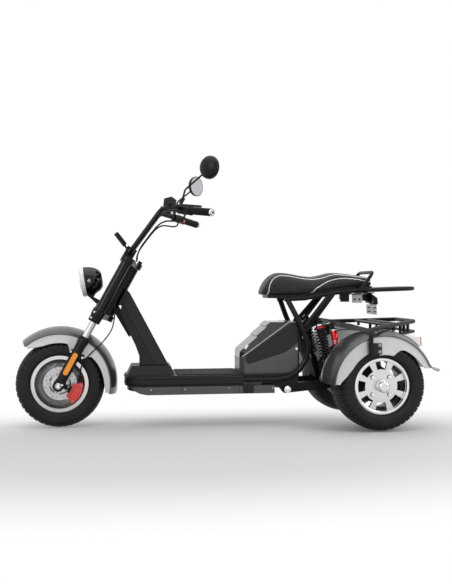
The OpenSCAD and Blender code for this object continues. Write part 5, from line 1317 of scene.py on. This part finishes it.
trim("skirt_screws", skirt_screws, zinc, "chassis", "zinc", SCREW_SHARP)
trim("sill_brackets", blocks, casting, "chassis", "black_metal")
print("deck joints", len(joints), "and skirt screws", len(skirt_screws))

# %% Battery box panels
BOX_Y = 118.0
UPPER_PANEL = [(101.5, 347), (116.5, 307), (140, 312), (308, 363.6), (345, 389), (374, 416), (374, 512),
               (336, 512)]
LOWER_PANEL = [(102, 332), (114.5, 300), (130, 303), (311, 358), (348, 384), (374, 408), (374, 262),
               (101, 262)]
LID_LINE = [(92, 106, 349), (99, 118.4, 350), (210, 118.4, 430.6), (332, 118.4, 519)]
LID_BEAD_R, LID_STEPS, LID_SIDES, LID_SHARP = 1.7, 60, 8, 60
# Corner radius with its steps; height and chamfer
UPPER_CORNER, UPPER_EDGE, LOWER_CORNER, LOWER_EDGE = (9, 6), (2.6, 1.6), (7, 6), (2.0, 1.4)

upper = rounded(UPPER_PANEL, *UPPER_CORNER)
upper_panels = both_sides(lambda side: raised(upper, on_side(side, BOX_Y), *UPPER_EDGE))
trim("box_upper_panels", upper_panels, panel_dark, "chassis", "panel_plastic")
lower = rounded(LOWER_PANEL, *LOWER_CORNER)
lower_panels = both_sides(lambda side: raised(lower, on_side(side, BOX_Y), *LOWER_EDGE))
trim("box_lower_panels", lower_panels, panel_grey, "chassis", "panel_plastic")
# The bead along the lid's edge is silver on the dark box: a painted highlight along that edge.
beads = []
for side, word in SIDES:
    line = fair_line(np.array(LID_LINE) * [1, side, 1], LID_STEPS)
    beads.append((tube_points(line, LID_BEAD_R, LID_SIDES), closed_sweep(LID_STEPS, LID_SIDES)))
trim("box_lid_highlight_beads", beads, silver_paint, "chassis", "panel_plastic", LID_SHARP)
print("battery box panels ready")

# %% Lid latch and box bolts
# The latch lies on the facet at the lid's nose: a place on it, a way along it and its outward normal
LATCH_AT = np.array([112.0, -103.0, 388.9])
latch_way, latch_out = unit([129.1, 34.0, 180.3]), unit([-4797.0, -5061.0, 4389.0])
BOX_BOLT, BOX_BOLT_R = (366, 120, 381), 7
PIVOT_BOLT, PIVOT_BOLT_R = (311.5, 161.2, 180), 12
# Ends along and across with the corners' radius; then height and chamfer
LATCH, LATCH_EDGE = (-12, 14, -7, 7, 4), (4.0, 1.2)
KEYHOLE, KEYHOLE_EDGE = (-6, 5, -4, 4, 3), (6.5, 1.0)


def on_lid(u, v, h):
    """Places an outline on that facet."""
    return LATCH_AT + latch_way * u + np.cross(latch_out, latch_way) * v + latch_out * h


latch_parts = [raised(box_outline(*LATCH), on_lid, *LATCH_EDGE)]
latch_parts.append(raised(box_outline(*KEYHOLE), on_lid, *KEYHOLE_EDGE))
trim("lid_latch", latch_parts, chrome, "chassis", "zinc", SCREW_SHARP)
box_bolts = []
for bolt, at, r in ((cap_screw, BOX_BOLT, BOX_BOLT_R), (hex_bolt, PIVOT_BOLT, PIVOT_BOLT_R)):
    box_bolts += [bolt(np.array(at) * [1, side, 1], (0, side, 0), r) for side, word in SIDES]
trim("box_bolts", box_bolts, chrome, "chassis", "zinc", SCREW_SHARP)
print("latch and box bolts ready")

# %% [markdown]
# ## Rear end
# The shock absorbers carry red reservoirs with bright caps. White tail lamps with red lenses stand on the
# fenders, the rack's feet are bolted on, and the wheels have chrome caps and bright bolts.

# %% Shock trim
SHOCK_Y, LINK_SHARE, CAN_BACK, CAN_DROP, CAN_L = 140.0, 0.9, 66.0, 25.0, 82.0
SHOCK_SIDES, COLLAR_SIDES = 36, 40
shock_low, shock_top = np.array([517.4, 0, 316.0]), np.array([478.5, 0, 512.4])
shock_way, shock_l = unit(shock_top - shock_low), float(np.linalg.norm(shock_top - shock_low))
shock_out = np.array([shock_way[2], 0, -shock_way[0]])
CAN = [(15, -CAN_L - 0.6), (17.6, -CAN_L + 1), (17.6, -9), (17.0, -8)]
CAN_RING, CAN_RING_STARTS = [(17.4, 0), (18.2, 0.6), (18.2, 2.4), (17.4, 3)], (-72, -66, -60)
CAN_CAP = [(17.3, -8.5), (18.3, -7.5), (18.3, -1), (16, 0.8), (8.5, 1.0)]
TOP_CAP = [(16.5, shock_l - 16), (19.5, shock_l - 14), (19.5, shock_l - 5), (16.5, shock_l - 4)]
# Radius, and height as a share of the shock's length
COLLAR_SHARES = [(20, 0.868), (27.8, 0.87), (27.8, 0.905), (20, 0.91)]
collar = [(r, share * shock_l) for r, share in COLLAR_SHARES]

cans, bright, collars = [], [], []
for side, word in SIDES:
    foot = shock_low + np.array([0, side * SHOCK_Y, 0])
    can_top = foot + CAN_BACK * shock_out + shock_way * (shock_l * LINK_SHARE - CAN_DROP)
    cans.append(turned(CAN, can_top, shock_way, SHOCK_SIDES))
    for start in CAN_RING_STARTS:
        ring = [(r, start + h) for r, h in CAN_RING]
        bright.append(turned(ring, can_top, shock_way, SHOCK_SIDES, True))
    bright.append(turned(CAN_CAP, can_top, shock_way, SHOCK_SIDES))
    bright.append(turned(TOP_CAP, foot, shock_way, SHOCK_SIDES))
    collars.append(turned(collar, foot, shock_way, COLLAR_SIDES, True))
trim("shock_reservoirs", cans, red_alloy, "chassis", "shock_black")
trim("shock_caps", bright, chrome, "chassis", "zinc", ROUND_SHARP)
trim("shock_collars", collars, red_alloy, "chassis", "shock_black", ROUND_SHARP)
print("shock trim ready")

# %% Tail lamps and rack feet
# The lamps' rear face: its place at a height, and how far it leans back for each millimetre below that
TAIL_X, TAIL_Z, TAIL_LEAN = 935.4, 454, 0.083
# Ends, heights and corner radius; then height and chamfer
TAIL_LENS, TAIL_EDGE = (-35, 35, 409, 450, 7), (4.0, 1.8)
TAIL_SCREW_US, TAIL_SCREW_Z, TAIL_SCREW_OUT, TAIL_SCREW_R = (-30, 30), 404.5, 0.2, 2.6
FOOT_PLATE, FOOT_Y, FOOT_EDGE = (650, 708, 374, 428, 4), 427.4, (4.8, 1.0)
FOOT_BOLT_X, FOOT_BOLT_Y, FOOT_BOLT_ZS, FOOT_BOLT_R = 697, 432.1, (387, 418), 5.5
STRUT_X_SHARE, STRUT_Z_SHARE = 0.806, 0.665
STRUT_BOLT, STRUT_BOLT_R = (FRONT_X + STRUT_X_SHARE * WHEELBASE, 120.2, STRUT_Z_SHARE * SEAT_H), 7


def on_tail(side):
    """Places an outline on a tail lamp's rear face."""
    return lambda u, v, h: np.array([TAIL_X + TAIL_LEAN * (TAIL_Z - v) + h, side * TRACK / 2 + u, v])


tail_lenses, tail_screws, feet, foot_plates = [], [], [], []
for side, word in SIDES:
    tail_lenses.append(raised(box_outline(*TAIL_LENS), on_tail(side), *TAIL_EDGE))
    for u in TAIL_SCREW_US:
        screw_at = on_tail(side)(u, TAIL_SCREW_Z, TAIL_SCREW_OUT)
        tail_screws.append(cap_screw(screw_at, (1, 0, 0), TAIL_SCREW_R))
    foot_plates.append(raised(box_outline(*FOOT_PLATE), on_side(side, FOOT_Y), *FOOT_EDGE, 0.0))
    feet += [hex_bolt((FOOT_BOLT_X, side * FOOT_BOLT_Y, z), (0, side, 0), FOOT_BOLT_R) for z in FOOT_BOLT_ZS]
    feet.append(hex_bolt(np.array(STRUT_BOLT) * [1, side, 1], (0, side, 0), STRUT_BOLT_R))
trim("tail_lenses", tail_lenses, red_lens, "chassis", "tail_lens")
trim("tail_screws", tail_screws, zinc, "chassis", "zinc", SCREW_SHARP)
trim("rack_foot_plates", foot_plates, casting, "chassis", "black_metal")
trim("rack_foot_bolts", feet, zinc, "chassis", "zinc", HEX_SHARP)
print("tail lamps and rack feet ready")

# %% Hub caps, wheel nuts and rim lips
HUB_CAP = [(29.5, 75.4), (29.5, 79), (27.5, 80), (27.5, 110), (26.4, 115), (23, 119), (18, 120.6),
           (14, 120.6), (13, 117), (7, 116.6)]
RIM_LIP = [(121.5, 87.2), (124, 88.6), (137.5, 88.4), (139.6, 86.6), (139.6, 84), (123.5, 84.4)]
WHEEL_NUTS, NUT_AT, NUT_Y, NUT_R = 4, 59.4, 78.2, 7.6
HUB_SIDES, LIP_SIDES, LIP_SHARP = 48, 96, 50

for side, word in SIDES:
    middle = np.array([REAR_X, side * TRACK / 2, AXLE_Z])
    body, out = f"rear_{word}_wheel", (0, side, 0)
    hub_cap = turned(HUB_CAP, middle, out, HUB_SIDES)
    trim(f"hub_cap_{word}", [hub_cap], chrome, body, "rim_alloy", SCREW_SHARP)
    nuts = []
    for turn in np.radians((np.arange(WHEEL_NUTS) + 0.5) * 360 / WHEEL_NUTS):
        nut_at = middle + np.array([NUT_AT * math.cos(turn), side * NUT_Y, NUT_AT * math.sin(turn)])
        nuts.append(hex_bolt(nut_at, out, NUT_R))
    trim(f"wheel_nuts_{word}", nuts, chrome, body, "zinc", HEX_SHARP)
    rim_lip = turned(RIM_LIP, middle, out, LIP_SIDES, True)
    trim(f"rim_lip_{word}", [rim_lip], chrome, body, "rim_alloy", LIP_SHARP)
print("wheel trim ready")

# %% [markdown]
# ## Saddle pan, dark apron and rack plates
# Under the saddle a dark pan closes the gap to the rails. Behind the battery box a dark apron fills the view
# through the frame: it stands for the black parts there and, partly, for painted shade deep inside. Below the
# rear rack hang black and zinc plates with bolt slots. Flat outlines raised by their thickness give the
# plates;
# the pan and the apron are swept along a line.

# %% Saddle pan
PAN_ENDS, PAN_STEPS, PAN_WIDTH_SHARE = (0.676, 1.034), 60, 0.80
# Section: share of the half width, and height over the saddle's underside
PAN_SECTION = ((-1, 6), (-1, -7), (-0.9, -11), (0.9, -11), (1, -7), (1, 6))

pan_x = np.linspace(FRONT_X + PAN_ENDS[0] * WHEELBASE, FRONT_X + PAN_ENDS[1] * WHEELBASE, PAN_STEPS)
pan_half, pan_mid, pan_rise = saddle_values(pan_x)
pan = []
for x, half, low in zip(pan_x, PAN_WIDTH_SHARE * pan_half, pan_mid - pan_rise):
    pan += [(x, y * half, low + z) for y, z in PAN_SECTION]
pan_faces = closed_sweep(PAN_STEPS, len(PAN_SECTION))
trim("saddle_pan", [(pan, pan_faces)], control_plastic, "chassis", "dark_plastic")
print("saddle pan ready")

# %% Dark apron and sill ends
APRON_LINE, APRON_STEPS = [(386, 0, 498), (402, 0, 440), (428, 0, 370), (456, 0, 300), (474, 0, 236)], 40
APRON_HALF, APRON_T = 100, 3
SILL_END, SILL_Y, SILL_CORNER = [(190, 196), (330, 188), (352, 214), (352, 250), (190, 250)], 106, 4
# Height, chamfer and how far it reaches in
SILL_EDGE = (3, 1, 3)

# The apron is a dark sheet behind the battery box: black parts there, and partly painted shade deep inside
# the frame.
apron_line = fair_line(APRON_LINE, APRON_STEPS)
slope = np.gradient(apron_line, axis=0)
apron_out = np.stack([slope[:, 2], np.zeros(APRON_STEPS), -slope[:, 0]], -1)
apron_out /= np.linalg.norm(apron_out, axis=1)[:, None]
corners = [(-APRON_HALF, 0), (-APRON_HALF, APRON_T), (APRON_HALF, APRON_T), (APRON_HALF, 0)]
apron = np.stack([apron_line + apron_out * h + [0, y, 0] for y, h in corners], 1).reshape(-1, 3)
apron_faces = closed_sweep(APRON_STEPS, len(corners))
trim("dark_filler_apron", [(apron, apron_faces)], soft_rubber, "chassis", "dark_plastic")
sill_ends = both_sides(lambda side: raised(rounded(SILL_END, SILL_CORNER), on_side(side, SILL_Y), *SILL_EDGE))
trim("sill_ends", sill_ends, casting, "chassis", "black_metal")
print("apron and sill ends ready")

# %% Tray flanges
FLANGE_START, FLANGE_END = (539.0, 124.0, 526.0), (664.0, 402.0, 494.0)
FLANGE_STRIP, FLANGE_CORNER, FLANGE_EDGE = [(0, 0), (308, 0), (300, -22), (8, -26)], 6, (2.5, 0.8, 0.5)


def on_flange(side):
    """Places a strip along the tray's edge, with v up and h outwards."""
    start, end = (np.array(p) * [1, side, 1] for p in (FLANGE_START, FLANGE_END))
    way, across = unit(end - start), unit(np.cross(end - start, [0, 0, 1])) * side
    return lambda u, v, h: start + way * u + np.array([0, 0, v]) + across * h


strip = rounded(FLANGE_STRIP, FLANGE_CORNER)
flanges = both_sides(lambda side: raised(strip, on_flange(side), *FLANGE_EDGE))
trim("tray_flanges", flanges, panel_grey, "chassis", "fender_grey")
print("tray flanges ready")

# %% Lamp bracket, plate holder and tabs
BRACKET = [(748, 656), (800, 656), (828, 636), (831, 602), (806, 598), (772, 618), (748, 624)]
BRACKET_Y, BRACKET_CORNER, BRACKET_EDGE = 16, 6, (2.0, 1.0, 34.0)
PLATE_CORNER = 4
HOLDER = [(767, 603), (822, 600), (825, 547), (769, 554)]
HOLDER_Y, HOLDER_T, HOLDER_CHAMFER = 18, 2.5, 0.6
SLOT_CENTRES = ((781, 586), (811, 584), (782, 566), (812, 563))
SLOT_HALF_L, SLOT_HALF_H, SLOT_EDGE = 8, 3, (0.3, 0.1)
BLACK_TAB = [(612, 657), (660, 657), (660, 617), (612, 617)]
ZINC_TAB = [(675, 657), (729, 657), (729, 612), (675, 612)]
TAB_Y, TAB_T = 60.5, 3.0
TAB_HOLES = ((625, 632), (647, 632), (689, 630), (715, 630))
TAB_HOLE, HOLE_SIDES = [(5.5, -0.5), (5.5, 0.3)], 20

bracket = raised(rounded(BRACKET, BRACKET_CORNER), on_side(-1, BRACKET_Y), *BRACKET_EDGE)
trim("lamp_bracket", [bracket], satin_black, "chassis", "black_metal")
tab_place = on_side(-1, TAB_Y)
black_tab = raised(rounded(BLACK_TAB, PLATE_CORNER), tab_place, TAB_T)
trim("rack_tab", [black_tab], satin_black, "chassis", "black_metal")
plates = [raised(rounded(HOLDER, PLATE_CORNER), on_side(-1, HOLDER_Y), HOLDER_T, HOLDER_CHAMFER)]
plates.append(raised(rounded(ZINC_TAB, PLATE_CORNER), tab_place, TAB_T))
trim("plate_holder", plates, zinc, "chassis", "zinc")
# Slots and holes are not cut through: dark ovals and discs laid on the plates are painted shade for the
# openings.
slots = []
for x, z in SLOT_CENTRES:
    slot = box_outline(x - SLOT_HALF_L, x + SLOT_HALF_L, z - SLOT_HALF_H, z + SLOT_HALF_H, SLOT_HALF_H)
    slots.append(raised(slot, on_side(-1, HOLDER_Y + HOLDER_T), *SLOT_EDGE))
for x, z in TAB_HOLES:
    slots.append(turned(TAB_HOLE, (x, -TAB_Y - TAB_T, z), LEFTWARD, HOLE_SIDES))
trim("plate_slot_shade", slots, soft_rubber, "chassis", "black_metal")
print("plates with", len(slots), "slots and holes")
